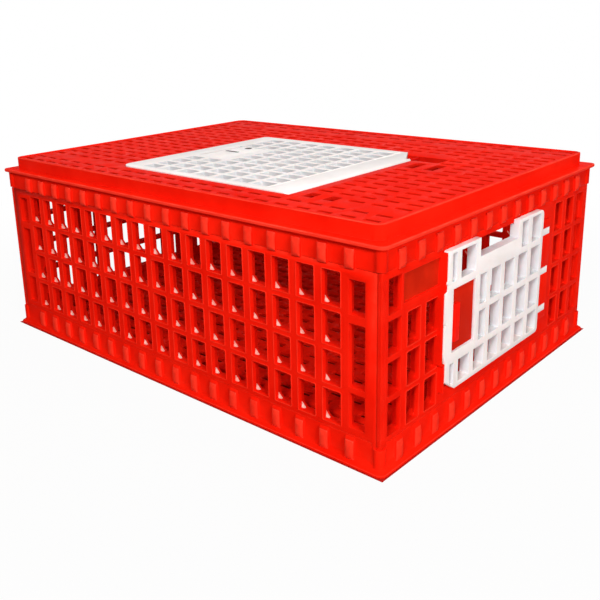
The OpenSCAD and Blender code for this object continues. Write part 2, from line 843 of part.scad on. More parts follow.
module top_door_catch() {
    z0 = top_z0 + 0.2;
    color(door_white) difference() {
        union() {
            block([catch_x0, catch_y0, z0], [catch_x1, catch_y1, z0 + 4.1]);
            translate([0, 0, z0 + 3]) linear_extrude(top_z1 - z0 - 3.6)
                polygon(soft_rect(catch_plate[0], catch_plate[1], 3));
            block([catch_x0, catch_nose_y[0], z0 - catch_drop], [catch_x0 + 6, catch_nose_y[1], z0 + 1]);
            block([catch_x0 - catch_nose, catch_nose_y[0], z0 - catch_drop],
                [catch_x0 + 1, catch_nose_y[1], z0 - catch_drop + catch_nose_t]);
        }
        // finger hole and the slot beside it
        translate([catch_hole[0], catch_hole[1], z0 - 1]) cylinder(h = 12, r = catch_hole_r, $fn = fine);
        translate([0, 0, z0 - 1]) linear_extrude(12) polygon(soft_rect(catch_slot[0], catch_slot[1], 3));
    }
}

// ---------- side door ----------

module side_outline() {
    tab_y = side_y0 - tab_w;
    polygon(concat(
        [[side_y0 + 23, side_z0]],
        arc_points(side_y1 - 6, side_z0 + 6, 6, 270),
        arc_points(side_y1 - 8, side_z1 - 8, 8, 0),
        [
            [notch_y[1], side_z1], [notch_y[1], notch_z], [notch_y[0], notch_z], [notch_y[0], side_z1],
            [side_y0 + 3, side_z1], [side_y0, side_z1 - 3],
            // tooth above the tab
            [side_y0, 205], [side_y0 - 3, 204], [side_y0 - 3, 201], [side_y0, 199],
            // tab with the latch behind it
            [side_y0, tab_z[1] + 3], [tab_y + 1.5, tab_z[1]], [tab_y, tab_z[1] - 2],
            [tab_y, 151], [tab_y + 4, 150], [tab_y + 4, 146], [tab_y, 145],
            [tab_y, tab_z[0] + 13], [side_y0, tab_z[0]],
            [side_y0, side_z0 + 15.5]
        ]
    ));
}

// Left edge of one of the full columns of cells
function side_col(c) = side_y0 + side_first + c * side_pitch;

// Cells of the side door between two levels, from one column on
module side_row(lo_z, hi_z, first) {
    for (c = [first:side_cell_cols - 1])
        rect([side_col(c), lo_z], [side_col(c) + side_pitch - side_bar_w, hi_z]);
}

// Cells of the side door: the latch window and the notch take the place of some
module side_cells() {
    half_rail = side_rail_h / 2;
    narrow = [side_y0 + side_frame[0], side_col(0) - side_bar_w];
    low = [side_levels[0] + half_rail, side_levels[1] - half_rail];
    high = [side_levels[3] + half_rail, side_levels[4] - half_rail];
    last = side_cell_cols - 1;
    rect([narrow[0], low[0]], [narrow[1], low[1]]);
    rect([narrow[0], high[0]], [narrow[1], high[1]]);
    side_row(low[0], low[1], 0);
    for (r = [1, 2]) {
        lo_z = side_levels[r] + half_rail;
        hi_z = side_levels[r + 1] - half_rail;
        rect([latch_cell_y, lo_z], [side_col(2) - side_bar_w, hi_z]);
        side_row(lo_z, hi_z, 2);
    }
    rect([side_col(0), high[0]], [notch_y[0] - side_bar_w, high[1]]);
    rect([notch_y[1] + side_bar_w, high[0]], [side_col(last) - side_bar_w, high[1]]);
    side_row(high[0], high[1], last);
}

module side_door() {
    back_lo = [end_open_y0 + side_back_gap, end_open_z0 + side_back_gap];
    back_hi = [end_open_y1 - side_back_gap, open_top - side_back_gap];
    skin_x = side_x1 - pocket_skin;
    lug_y = side_y1 - 6;
    color(door_white) difference() {
        union() {
            end_slab(side_x1, side_door_t) difference() {
                side_outline();
                side_cells();
            }
            end_slab(side_x0 + 1, side_back + 1) difference() {
                intersection() {
                    side_outline();
                    rect(back_lo, back_hi);
                }
                side_cells();
            }
            // hinge lugs
            for (z = lug_levels) {
                block([hinge_x - lug_r, lug_y, z - lug_h / 2], [hinge_x + lug_r, hinge_y, z + lug_h / 2]);
                translate([hinge_x, hinge_y, z - lug_h / 2]) cylinder(h = lug_h, r = lug_r, $fn = fine);
            }
        }
        // pocket behind the face for the latch plate, and its window
        block([side_x0 - side_back - 1, latch_pocket[0][0], latch_pocket[0][1]],
            [skin_x, latch_pocket[1][0], latch_pocket[1][1]]);
        block([skin_x - 1, latch_win[0][0], latch_win[0][1]],
            [side_x1 + 1, latch_win[1][0], latch_win[1][1]]);
        translate([hinge_x, hinge_y, side_z0])
            cylinder(h = side_door_h, r = hinge_pin_r + hinge_fit, $fn = fine);
    }
    // lips that hold the latch plate in its pocket
    color(door_white) for (z = [latch_pocket[0][1] - 1, latch_pocket[1][1] - 3])
        block([side_x0, latch_lip_y[0], z], [side_x0 + 1.7, latch_lip_y[1], z + 4]);
}

module side_door_hinge_rod() {
    color(rod_red) translate([hinge_x, hinge_y, house_z0 + 4])
        cylinder(h = house_z1 - house_z0 - 4, r = hinge_pin_r, $fn = fine);
}

module side_door_latch() {
    color(shell_red) union() {
        block([latch_x0, latch_y[0], latch_pocket[0][1] + 0.5],
            [latch_x0 + latch_t, latch_y[1], latch_pocket[1][1] - 0.5]);
        // raised grip
        block([latch_x0 + 1, latch_grip[0][0], latch_grip[0][1]],
            [side_x1, latch_grip[1][0], latch_grip[1][1]]);
        // stem and nose behind the door
        block([nose_x0, nose_y1 - nose_stem, nose_z[0]], [latch_x0 + 1, nose_y1, nose_z[1]]);
        block([nose_x0, nose_y0, nose_z[0]], [nose_x0 + nose_t, nose_y1, nose_z[1]]);
    }
}

base_skirt();
floor_grille();
roof_frame();
roof_deck();
front_wall();
rear_wall();
door_end_wall();
plain_end_wall();
front_left_corner_rod();
front_right_corner_rod();
rear_left_corner_rod();
rear_right_corner_rod();
top_door();
top_door_front_pin();
top_door_rear_pin();
top_door_catch();
side_door();
side_door_hinge_rod();
side_door_latch();
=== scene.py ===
"""Poultry transport crate: finishes, rounded edges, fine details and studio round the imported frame."""

import logging
import math
from dataclasses import dataclass, field
from enum import Enum

import bmesh
import bpy
from mathutils import Matrix, Vector
from mathutils.bvhtree import BVHTree


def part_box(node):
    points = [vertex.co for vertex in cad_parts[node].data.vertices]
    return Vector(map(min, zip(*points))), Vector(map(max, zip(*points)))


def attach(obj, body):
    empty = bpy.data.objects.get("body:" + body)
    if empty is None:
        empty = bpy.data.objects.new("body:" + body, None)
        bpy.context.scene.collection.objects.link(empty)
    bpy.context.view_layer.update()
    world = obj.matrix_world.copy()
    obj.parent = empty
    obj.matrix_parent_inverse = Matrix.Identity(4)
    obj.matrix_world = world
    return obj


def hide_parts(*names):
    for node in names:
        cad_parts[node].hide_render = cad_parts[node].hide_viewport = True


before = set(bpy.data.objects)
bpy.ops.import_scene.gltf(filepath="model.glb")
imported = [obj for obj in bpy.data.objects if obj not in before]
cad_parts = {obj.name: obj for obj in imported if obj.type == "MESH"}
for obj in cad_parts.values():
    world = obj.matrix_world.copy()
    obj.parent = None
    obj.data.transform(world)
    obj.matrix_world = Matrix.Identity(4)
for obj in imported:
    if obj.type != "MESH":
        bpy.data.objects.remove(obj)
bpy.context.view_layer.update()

Point = tuple[float, float, float]
Box = tuple[Point, Point]
Piece = bpy.types.Object
Tree = bpy.types.NodeTree
Node = bpy.types.Node
Socket = bpy.types.NodeSocket

log = logging.getLogger("poultry_crate")

MM = 0.001
SAME_PLACE = 0.002 * MM
FLAT_WITHIN = math.radians(1.0)
SHARP_FROM = math.radians(28.0)


# ---------------------------------------------------------------- small tools


def srgb_to_linear(hex_colour: str) -> tuple[float, float, float, float]:
    """Turns an sRGB hex colour into linear light.

    Args:
        hex_colour: six hex digits after a hash sign.

    Returns:
        Linear red, green, blue and an alpha of one.
    """
    raw = hex_colour.lstrip("#")
    linear = []
    for at in (0, 2, 4):
        value = int(raw[at : at + 2], 16) / 255.0
        linear.append(value / 12.92 if value <= 0.04045 else ((value + 0.055) / 1.055) ** 2.4)
    return (linear[0], linear[1], linear[2], 1.0)


def add_node(tree: Tree, kind: str, settings: dict | None = None, links: dict | None = None) -> Node:
    """Adds one node with its settings and links.

    Args:
        tree: the shader or geometry tree that takes the node.
        kind: the node's type name.
        settings: attribute names and values; a key that starts with "in:" sets that input's value.
        links: input names, each with the socket that feeds it, or with the node whose first output does.

    Returns:
        The new node.
    """
    node = tree.nodes.new(kind)
    for key, value in (settings or {}).items():
        if key.startswith("in:"):
            name = key[3:]
            node.inputs[int(name) if name.isdigit() else name].default_value = value
        else:
            setattr(node, key, value)
    for name, source in (links or {}).items():
        feed = source.outputs[0] if isinstance(source, bpy.types.Node) else source
        tree.links.new(feed, node.inputs[int(name) if name.isdigit() else name])
    return node


def metres(point: Point) -> Point:
    """Turns a place in mm into metres."""
    return (point[0] * MM, point[1] * MM, point[2] * MM)


def put_in_scene(name: str, data: bpy.types.ID) -> Piece:
    """Makes an object of a mesh, lamp or camera and links it to the scene.

    Args:
        name: the object's name.
        data: what the object shows.

    Returns:
        The new object, at the origin.
    """
    made = bpy.data.objects.new(name, data)
    bpy.context.scene.collection.objects.link(made)
    return made


def merged_copy(node: str, name: str) -> Piece:
    """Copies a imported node's mesh as one clean shell with flat faces joined.

    Args:
        node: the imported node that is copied.
        name: the new object's name.

    Returns:
        The new object, at the origin.
    """
    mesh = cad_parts[node].data.copy()
    mesh.name = name
    mesh.materials.clear()
    shell = bmesh.new()
    shell.from_mesh(mesh)
    bmesh.ops.remove_doubles(shell, verts=shell.verts, dist=SAME_PLACE)
    bmesh.ops.dissolve_limit(
        shell, angle_limit=FLAT_WITHIN, verts=shell.verts, edges=shell.edges, delimit=set()
    )
    shell.to_mesh(mesh)
    shell.free()
    return put_in_scene(name, mesh)


def soften_edges(piece: Piece, width_mm: float, segments: int) -> None:
    """Rounds a piece's edges with a live bevel and smooth shading.

    Args:
        piece: the object to soften.
        width_mm: width of the rounding.
        segments: faces across the rounding.
    """
    bevel = piece.modifiers.new("Moulding radius", "BEVEL")
    bevel.width = width_mm * MM
    bevel.segments = segments
    bevel.limit_method = "ANGLE"
    bevel.angle_limit = SHARP_FROM
    bevel.use_clamp_overlap = True
    bevel.harden_normals = True
    for face in piece.data.polygons:
        face.use_smooth = True


# ---------------------------------------------------------------- finishes


@dataclass(frozen=True)
class Clouds:
    """A cloudy pattern of a real size, in mm, with its contrast pulled between two levels."""

    size_mm: float
    detail: float
    roughness: float
    low: float
    high: float

    def build(self, tree: Tree, place: Socket, dark: float, light: float) -> Node:
        """Adds the pattern to a material.

        Args:
            tree: the material's node tree.
            place: the object coordinates.
            dark: the result at the low level.
            light: the result at the high level.

        Returns:
            The node whose first output is the result.
        """
        noise = add_node(
            tree,
            "ShaderNodeTexNoise",
            {"in:Scale": 1.0 / (self.size_mm * MM), "in:Detail": self.detail, "in:Roughness": self.roughness},
            {"Vector": place},
        )
        return add_node(
            tree,
            "ShaderNodeMapRange",
            {"in:From Min": self.low, "in:From Max": self.high, "in:To Min": dark, "in:To Max": light},
            {"Value": noise},
        )


@dataclass(frozen=True)
class MouldedPolyethylene:
    """High-density polyethylene, injection moulded with a fine spark-eroded skin.

    It gives a deep, slightly waxy colour with broad soft highlights, faint flow shading across a panel, and
    paler, drier edges: partly real rub wear, partly a painted highlight along the edges.
    """

    name: str
    body: str
    deep: str
    wear_and_highlight_colour: str
    roughness: float = 0.42
    waxiness: float = 0.10
    specular: float = 0.004
    flow_mm: float = 70.0
    edge_mm: float = 1.2
    wear_and_highlight_share: float = 0.22
    # cosines of the angle between the true and the rounded normal where the pale edge, real wear and painted
    # highlight, starts and is full
    edge_turn: tuple[float, float] = (0.99, 0.80)
    edge_mark_patches: Clouds = Clouds(size_mm=18.0, detail=4.0, roughness=0.65, low=0.38, high=0.62)
    edge_mark_left: float = 0.25
    handling: Clouds = Clouds(size_mm=30.0, detail=5.0, roughness=0.6, low=0.3, high=0.7)
    handled_gloss: tuple[float, float] = (-0.07, 0.09)
    sink_mm: float = 26.0
    sink_depth_mm: float = 0.5
    # the real grain is 0.2 mm and is drawn coarser so that it shows
    grain_mm: float = 2.2
    grain_depth_mm: float = 0.05

    def build(self) -> bpy.types.Material:
        """Builds the material's node tree.

        Returns:
            The finished material.
        """
        material = bpy.data.materials.new(self.name)
        material.use_nodes = True
        tree = material.node_tree
        tree.nodes.clear()
        place = add_node(tree, "ShaderNodeTexCoord").outputs["Object"]
        smoothest, dullest = (self.roughness + change for change in self.handled_gloss)
        gloss = self.handling.build(tree, place, smoothest, dullest)
        shader = add_node(
            tree,
            "ShaderNodeBsdfPrincipled",
            {
                "in:IOR": 1.54,
                "in:Metallic": 0.0,
                "in:Specular IOR Level": self.specular,
                "in:Subsurface Weight": self.waxiness,
                "in:Subsurface Radius": (4.0 * MM, 1.5 * MM, 1.0 * MM),
                "in:Subsurface Scale": 1.0,
            },
            {"Base Color": self._colour(tree, place), "Roughness": gloss, "Normal": self._grain(tree, place)},
        )
        add_node(tree, "ShaderNodeOutputMaterial", {}, {"Surface": shader})
        material.diffuse_color = srgb_to_linear(self.body)
        return material

    def _colour(self, tree: Tree, place: Socket) -> Socket:
        """Mixes flow shading and the pale edges, real wear and painted highlight, into the body colour.

        Args:
            tree: the material's node tree.
            place: the object coordinates.

        Returns:
            The colour socket.
        """
        streaks = Clouds(size_mm=self.flow_mm, detail=3.0, roughness=0.55, low=0.35, high=0.68)
        base = add_node(
            tree,
            "ShaderNodeMix",
            {"data_type": "RGBA", "in:6": srgb_to_linear(self.deep), "in:7": srgb_to_linear(self.body)},
            {"0": streaks.build(tree, place, 0.0, 1.0)},
        )
        # the pale edges are partly real rub wear, partly a painted highlight
        wear_and_highlight_mix = add_node(
            tree,
            "ShaderNodeMix",
            {"data_type": "RGBA", "in:7": srgb_to_linear(self.wear_and_highlight_colour)},
            {"0": self._pale_edge_mask(tree, place), "6": base.outputs[2]},
        )
        return wear_and_highlight_mix.outputs[2]

    def _pale_edge_mask(self, tree: Tree, place: Socket) -> Node:
        """Finds the edges that are painted paler, for rub wear and a painted highlight, broken up into
        patches.

        Args:
            tree: the material's node tree.
            place: the object coordinates.

        Returns:
            The node whose first output is zero on flat faces and rises on the pale edges.
        """
        rounded = add_node(tree, "ShaderNodeBevel", {"samples": 6, "in:Radius": self.edge_mm * MM})
        true_normal = add_node(tree, "ShaderNodeNewGeometry").outputs["True Normal"]
        agree = add_node(
            tree, "ShaderNodeVectorMath", {"operation": "DOT_PRODUCT"}, {"0": rounded, "1": true_normal}
        )
        edge = add_node(
            tree,
            "ShaderNodeMapRange",
            {
                "in:From Min": self.edge_turn[0],
                "in:From Max": self.edge_turn[1],
                "in:To Min": 0.0,
                "in:To Max": self.wear_and_highlight_share,
            },
            {"Value": agree.outputs["Value"]},
        )
        broken = self.edge_mark_patches.build(tree, place, self.edge_mark_left, 1.0)
        return add_node(tree, "ShaderNodeMath", {"operation": "MULTIPLY"}, {"0": edge, "1": broken})

    def _grain(self, tree: Tree, place: Socket) -> Node:
        """Raises the spark-eroded grain over shallow sink marks.

        Args:
            tree: the material's node tree.
            place: the object coordinates.

        Returns:
            The node whose first output is the normal.
        """
        pits = add_node(
            tree,
            "ShaderNodeTexNoise",
            {"in:Scale": 1.0 / (self.grain_mm * MM), "in:Detail": 2.0, "in:Roughness": 0.5},
            {"Vector": place},
        )
        sink = add_node(
            tree,
            "ShaderNodeTexNoise",
            {"in:Scale": 1.0 / (self.sink_mm * MM), "in:Detail": 1.0, "in:Roughness": 0.4},
            {"Vector": place},
        )
        waves = add_node(
            tree,
            "ShaderNodeBump",
            {"in:Strength": 0.35, "in:Distance": self.sink_depth_mm * MM},
            {"Height": sink},
        )
        return add_node(
            tree,
            "ShaderNodeBump",
            {"in:Strength": 0.5, "in:Distance": self.grain_depth_mm * MM},
            {"Height": pits, "Normal": waves},
        )


class Finish(Enum):
    """The crate's finishes: the record slot that each belongs to, and its material."""

    # the shell is one bright red, a little deeper where the melt flowed
    RED_SHELL = ("red_shell", MouldedPolyethylene("moulded_hdpe_red", "#F91F0C", "#EE1706", "#FF5138"))
    # drawn rod is smoother and darker than the mouldings
    RED_ROD = (
        "red_rod",
        MouldedPolyethylene(
            "extruded_hdpe_dark_red", "#CE120A", "#BE0E07", "#E2341F", roughness=0.36, flow_mm=40.0
        ),
    )
    # the latch is painted a duller red than the shell: painted shade on its flat face
    RED_LATCH = (
        "red_latch",
        MouldedPolyethylene("moulded_hdpe_latch_red", "#DC2812", "#CC200D", "#F04A34", roughness=0.38),
    )
    # white polyethylene lets a little warm light through its edges
    WHITE_DOOR = (
        "white_door",
        MouldedPolyethylene(
            "moulded_hdpe_warm_white",
            "#FFF6F3",
            "#F6ECE8",
            "#FFFBF8",
            roughness=0.40,
            waxiness=0.14,
            specular=0.10,
        ),
    )
    # the sides of the narrow roof cells are painted a cool grey: painted shade in the cells
    WHITE_DEEP = (
        "white_door",
        MouldedPolyethylene(
            "shade_painted_hdpe_cool_grey",
            "#DFE2E3",
            "#D1D5D6",
            "#EFF1F1",
            roughness=0.55,
            flow_mm=20.0,
            specular=0.10,
        ),
    )
    # the sides of the end door's cells are painted a little darker and cooler than the door: painted shade in
    # the cells
    WHITE_CELL = (
        "white_door",
        MouldedPolyethylene(
            "shade_painted_hdpe_cool_white",
            "#F0F1F3",
            "#E4E6E8",
            "#FAFBFB",
            roughness=0.45,
            flow_mm=20.0,
            specular=0.10,
        ),
    )
    # the hinge trough, the sides of the deck's slots and its underside are painted a darker red: painted
    # shade
    RED_TROUGH = (
        "red_shell",
        MouldedPolyethylene(
            "shade_painted_hdpe_dark_red", "#DE1C0C", "#CC1709", "#EA3E2E", roughness=0.60, flow_mm=20.0
        ),
    )
    # the slot, the hole and the edge gap of the catch, and its underside, are painted dark grey: painted
    # shade
    GREY_CATCH = (
        "white_door",
        MouldedPolyethylene(
            "shade_painted_hdpe_grey",
            "#5E5956",
            "#484442",
            "#8C8683",
            roughness=0.46,
            flow_mm=14.0,
            specular=0.10,
        ),
    )
    # the blank plate is painted a duller, darker red with a matt skin: painted shade on its flat face
    RED_PLATE = (
        "red_shell",
        MouldedPolyethylene(
            "shade_painted_hdpe_red_plate", "#D4260F", "#C4200B", "#E84630", roughness=0.55, flow_mm=30.0
        ),
    )
    # the raised grip is smoother, and painted a brighter red: a painted highlight on its front
    RED_GRIP = (
        "red_latch",
        MouldedPolyethylene(
            "highlight_painted_hdpe_red_grip", "#FF1C0C", "#F4140A", "#FF5A46", roughness=0.30, flow_mm=12.0, edge_mm=0.8
        ),
    )
    # raised beads are painted paler and are a little drier than the panel behind them: a painted highlight
    # along the edges
    RED_RIM = (
        "red_shell",
        MouldedPolyethylene(
            "highlight_painted_hdpe_red_bead", "#FF4633", "#FA3322", "#FF9484", roughness=0.48, flow_mm=24.0, edge_mm=0.8
        ),
    )
    # the pads and the flange edge are painted a little paler: a painted highlight on the parts that stand out
    RED_PAD = (
        "red_shell",
        MouldedPolyethylene("highlight_painted_hdpe_red_pad", "#FF3A26", "#F62D1B", "#FF7A66", flow_mm=30.0),
    )
    # the thin rims of the cells are painted a little paler: a painted highlight along the cells' edges
    RED_EDGE = (
        "red_shell",
        MouldedPolyethylene("highlight_painted_hdpe_red_rim", "#FC2D19", "#F2230F", "#FF6E58", flow_mm=30.0),
    )
    # the gussets are painted near white: a painted glint on each gusset
    PAINTED_GLINT = (
        "red_shell",
        MouldedPolyethylene(
            "glint_painted_hdpe", "#FFD2C6", "#FF9C8A", "#FFF0EA", roughness=0.50, flow_mm=9.0, edge_mm=0.8
        ),
    )

    @property
    def slot(self) -> str:
        """Names the record's material slot that the finish belongs to."""
        return self.value[0]

    @property
    def material(self) -> bpy.types.Material:
        """Gives the finish's material, which is built the first time that it is asked for."""
        return bpy.data.materials.get(self.value[1].name) or self.value[1].build()


@dataclass(frozen=True)
class Accent:
    """A second finish for the faces whose centres lie in one of some boxes, in mm.

    With mirrored set, each box stands for its mirror images across the crate's middle planes too.
    """

    finish: Finish
    boxes: tuple[Box, ...]
    mirrored: bool = False

    def paint(self, mesh: bpy.types.Mesh) -> None:
        """Gives the faces in the boxes their own material.

        Args:
            mesh: the piece's mesh.
        """
        mesh.materials.append(self.finish.material)
        at = len(mesh.materials) - 1
        for face in mesh.polygons:
            centre = [abs(value) for value in face.center] if self.mirrored else face.center
            for low, high in self.boxes:
                if all(lo * MM <= value <= hi * MM for lo, value, hi in zip(low, centre, high)):
                    face.material_index = at


# ---------------------------------------------------------------- kinds of piece


@dataclass(frozen=True)
class Moulding:
    """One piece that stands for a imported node, with its edges rounded."""

    node: str
    body: str
    finish: Finish
    radius_mm: float
    segments: int = 2
    accent: Accent | None = None

    def build(self) -> Piece:
        """Returns:
            The finished object.
        """
        piece = merged_copy(self.node, self.node + "_skin")
        piece.data.materials.append(self.finish.material)
        if self.accent:
            self.accent.paint(piece.data)
        soften_edges(piece, self.radius_mm, self.segments)
        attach(piece, self.body)
        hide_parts(self.node)
        return piece


@dataclass(frozen=True)
class Spot:
    """Place and direction of one repeated detail, in mm and degrees."""

    x: float
    y: float
    z: float
    turn: float = 0.0
    roll: float = 0.0

    def turned(self, degrees: float) -> "Spot":
        """Turns the spot about the crate's upright axis.

        Args:
            degrees: angle of the turn.

        Returns:
            The turned spot.
        """
        angle = math.radians(degrees)
        x = self.x * math.cos(angle) - self.y * math.sin(angle)
        y = self.x * math.sin(angle) + self.y * math.cos(angle)
        return Spot(x, y, self.z, self.turn + degrees, self.roll)

    @property
    def point(self) -> Point:
        """Gives the place alone."""
        return (self.x, self.y, self.z)


@dataclass
class NodesPiece:
    """A piece that Geometry Nodes make from a plain mesh, with its named sizes in mm."""

    name: str
    finish: Finish
    sizes: dict[str, float]
    body: str = "crate"

    def start_mesh(self) -> bpy.types.Mesh:
        """Makes the mesh that the tree starts from."""
        raise NotImplementedError

    def shape(self, tree: Tree, start: Socket, size: dict[str, Socket]) -> Node:
        """Adds the nodes that make the shape.

        Args:
            tree: the geometry tree.
            start: the start mesh.
            size: the socket of each named size, in metres.

        Returns:
            The node whose first output is the shape.
        """
        raise NotImplementedError

    def build(self) -> Piece:
        """Returns:
            The finished object.
        """
        tree = bpy.data.node_groups.new(self.name + "_tree", "GeometryNodeTree")
        tree.interface.new_socket("Start", in_out="INPUT", socket_type="NodeSocketGeometry")
        inputs = {
            key: tree.interface.new_socket(key, in_out="INPUT", socket_type="NodeSocketFloat")
            for key in self.sizes
        }
        tree.interface.new_socket("Piece", in_out="OUTPUT", socket_type="NodeSocketGeometry")
        source = add_node(tree, "NodeGroupInput")
        size = {key: source.outputs[key] for key in self.sizes}
        shape = self.shape(tree, source.outputs["Start"], size)
        real = add_node(tree, "GeometryNodeRealizeInstances", {}, {"Geometry": shape})
        dressed = add_node(
            tree, "GeometryNodeSetMaterial", {"in:Material": self.finish.material}, {"Geometry": real}
        )
        add_node(tree, "NodeGroupOutput", {}, {"Piece": dressed})
        piece = put_in_scene(self.name, self.start_mesh())
        modifier = piece.modifiers.new("Shape", "NODES")
        modifier.node_group = tree
        for key, value in self.sizes.items():
            modifier[inputs[key].identifier] = value * MM
        graph = bpy.context.evaluated_depsgraph_get()
        mesh = bpy.data.meshes.new_from_object(piece.evaluated_get(graph), depsgraph=graph)
        mesh.name = self.name
        piece.modifiers.remove(modifier)
        piece.data = mesh
        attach(piece, self.body)
        return piece


@dataclass
class Repeat(NodesPiece):
    """A small shape that stands at many spots of one body."""

    spots: list[Spot] = field(default_factory=list)

    def start_mesh(self) -> bpy.types.Mesh:
        """Makes one point for each spot, with its turn and roll.

        Returns:
            The mesh of points.
        """
        places = bpy.data.meshes.new(self.name + "_places")
        places.from_pydata([metres(spot.point) for spot in self.spots], [], [])
        for key in ("turn", "roll"):
            values = places.attributes.new(key, "FLOAT", "POINT")
            values.data.foreach_set("value", [math.radians(getattr(spot, key)) for spot in self.spots])
        return places

    def unit(self, tree: Tree, size: dict[str, Socket]) -> Node:
        """Adds the nodes of the shape that is repeated.

        Args:
            tree: the geometry tree.
            size: the socket of each named size, in metres.

        Returns:
            The node whose first output is the shape.
        """
        raise NotImplementedError

    def shape(self, tree: Tree, start: Socket, size: dict[str, Socket]) -> Node:
        """Sets the shape at every spot.

        Args:
            tree: the geometry tree.
            start: the spots.
            size: the socket of each named size, in metres.

        Returns:
            The node whose first output is the set of instances.
        """
        turn = add_node(tree, "GeometryNodeInputNamedAttribute", {"data_type": "FLOAT", "in:Name": "turn"})
        roll = add_node(tree, "GeometryNodeInputNamedAttribute", {"data_type": "FLOAT", "in:Name": "roll"})
        euler = add_node(tree, "ShaderNodeCombineXYZ", {}, {"Y": roll, "Z": turn})
        rotation = add_node(tree, "FunctionNodeEulerToRotation", {}, {"Euler": euler})
        return add_node(
            tree,
            "GeometryNodeInstanceOnPoints",
            {},
            {"Points": start, "Instance": self.unit(tree, size), "Rotation": rotation},
        )


@dataclass
class CrownedPads(Repeat):
    """Rib pads with a rounded crown: sizes are Width, Height, Proud and Sink."""

    # share of the height over which each end of a pad runs out
    taper: float = 0.22

    def unit(self, tree: Tree, size: dict[str, Socket]) -> Node:
        """Adds one pad that stands out along +X.

        Args:
            tree: the geometry tree.
            size: the socket of each named size, in metres.

        Returns:
            The node whose first output is the pad.
        """
        block = add_node(
            tree,
            "GeometryNodeMeshCube",
            {"in:Size": (1.0, 1.0, 1.0), "in:Vertices X": 2, "in:Vertices Y": 13, "in:Vertices Z": 13},
        )
        here = add_node(tree, "GeometryNodeInputPosition")
        x, y, z = add_node(tree, "ShaderNodeSeparateXYZ", {}, {"Vector": here}).outputs
        across = add_node(tree, "ShaderNodeMath", {"operation": "MULTIPLY", "in:1": 2.0}, {"0": y})
        squared = add_node(tree, "ShaderNodeMath", {"operation": "MULTIPLY"}, {"0": across, "1": across})
        fall = add_node(tree, "ShaderNodeMath", {"operation": "SUBTRACT", "in:0": 1.0}, {"1": squared})
        kept = add_node(tree, "ShaderNodeMath", {"operation": "MAXIMUM", "in:1": 0.0}, {"0": fall})
        rounded = add_node(tree, "ShaderNodeMath", {"operation": "SQRT"}, {"0": kept})
        level = add_node(tree, "ShaderNodeMath", {"operation": "ABSOLUTE"}, {"0": z})
        from_end = add_node(tree, "ShaderNodeMath", {"operation": "SUBTRACT", "in:0": 0.5}, {"1": level})
        tapered = add_node(
            tree,
            "ShaderNodeMapRange",
            {"interpolation_type": "SMOOTHSTEP", "in:From Min": 0.0, "in:From Max": self.taper},
            {"Value": from_end},
        )
        crown = add_node(tree, "ShaderNodeMath", {"operation": "MULTIPLY"}, {"0": rounded, "1": tapered})
        swell = add_node(tree, "ShaderNodeMath", {"operation": "MULTIPLY"}, {"0": crown, "1": size["Proud"]})
        front = add_node(tree, "ShaderNodeMath", {"operation": "ADD"}, {"0": swell, "1": size["Sink"]})
        depth = add_node(tree, "ShaderNodeMath", {"operation": "ADD", "in:1": 0.5}, {"0": x})
        out = add_node(tree, "ShaderNodeMath", {"operation": "MULTIPLY"}, {"0": depth, "1": front})
        at_x = add_node(tree, "ShaderNodeMath", {"operation": "SUBTRACT"}, {"0": out, "1": size["Sink"]})
        at_y = add_node(tree, "ShaderNodeMath", {"operation": "MULTIPLY"}, {"0": y, "1": size["Width"]})
        at_z = add_node(tree, "ShaderNodeMath", {"operation": "MULTIPLY"}, {"0": z, "1": size["Height"]})
        place = add_node(tree, "ShaderNodeCombineXYZ", {}, {"X": at_x, "Y": at_y, "Z": at_z})
        shaped = add_node(tree, "GeometryNodeSetPosition", {}, {"Geometry": block, "Position": place})
        return add_node(tree, "GeometryNodeSetShadeSmooth", {}, {"Geometry": shaped})


@dataclass
class GussetCaps(Repeat):
    """Near-white skins over the small gussets of the cells, a painted glint: sizes are Reach and Depth."""

    # corners nearer than this, in mm, become one
    weld: float = 0.01

    def unit(self, tree: Tree, size: dict[str, Socket]) -> Node:
        """Adds one three-cornered cap in the corner between +X and +Z, with its depth along +Y.

        Args:
            tree: the geometry tree.
            size: the socket of each named size, in metres.

        Returns:
            The node whose first output is the cap.
        """
        block = add_node(
            tree,
            "GeometryNodeMeshCube",
            {"in:Size": (1.0, 1.0, 1.0), "in:Vertices X": 2, "in:Vertices Y": 2, "in:Vertices Z": 2},
        )
        here = add_node(tree, "GeometryNodeInputPosition")
        x, y, z = add_node(tree, "ShaderNodeSeparateXYZ", {}, {"Vector": here}).outputs
        along = add_node(tree, "ShaderNodeMath", {"operation": "ADD", "in:1": 0.5}, {"0": x})
        slope = add_node(tree, "ShaderNodeMath", {"operation": "SUBTRACT", "in:0": 1.0}, {"1": along})
        rise = add_node(tree, "ShaderNodeMath", {"operation": "ADD", "in:1": 0.5}, {"0": z})
        up = add_node(tree, "ShaderNodeMath", {"operation": "MULTIPLY"}, {"0": rise, "1": slope})
        inward = add_node(tree, "ShaderNodeMath", {"operation": "ADD", "in:1": 0.5}, {"0": y})
        at_x = add_node(tree, "ShaderNodeMath", {"operation": "MULTIPLY"}, {"0": along, "1": size["Reach"]})
        at_y = add_node(tree, "ShaderNodeMath", {"operation": "MULTIPLY"}, {"0": inward, "1": size["Depth"]})
        at_z = add_node(tree, "ShaderNodeMath", {"operation": "MULTIPLY"}, {"0": up, "1": size["Reach"]})
        place = add_node(tree, "ShaderNodeCombineXYZ", {}, {"X": at_x, "Y": at_y, "Z": at_z})
        shaped = add_node(tree, "GeometryNodeSetPosition", {}, {"Geometry": block, "Position": place})
        return add_node(
            tree, "GeometryNodeMergeByDistance", {"in:Distance": self.weld * MM}, {"Geometry": shaped}
        )


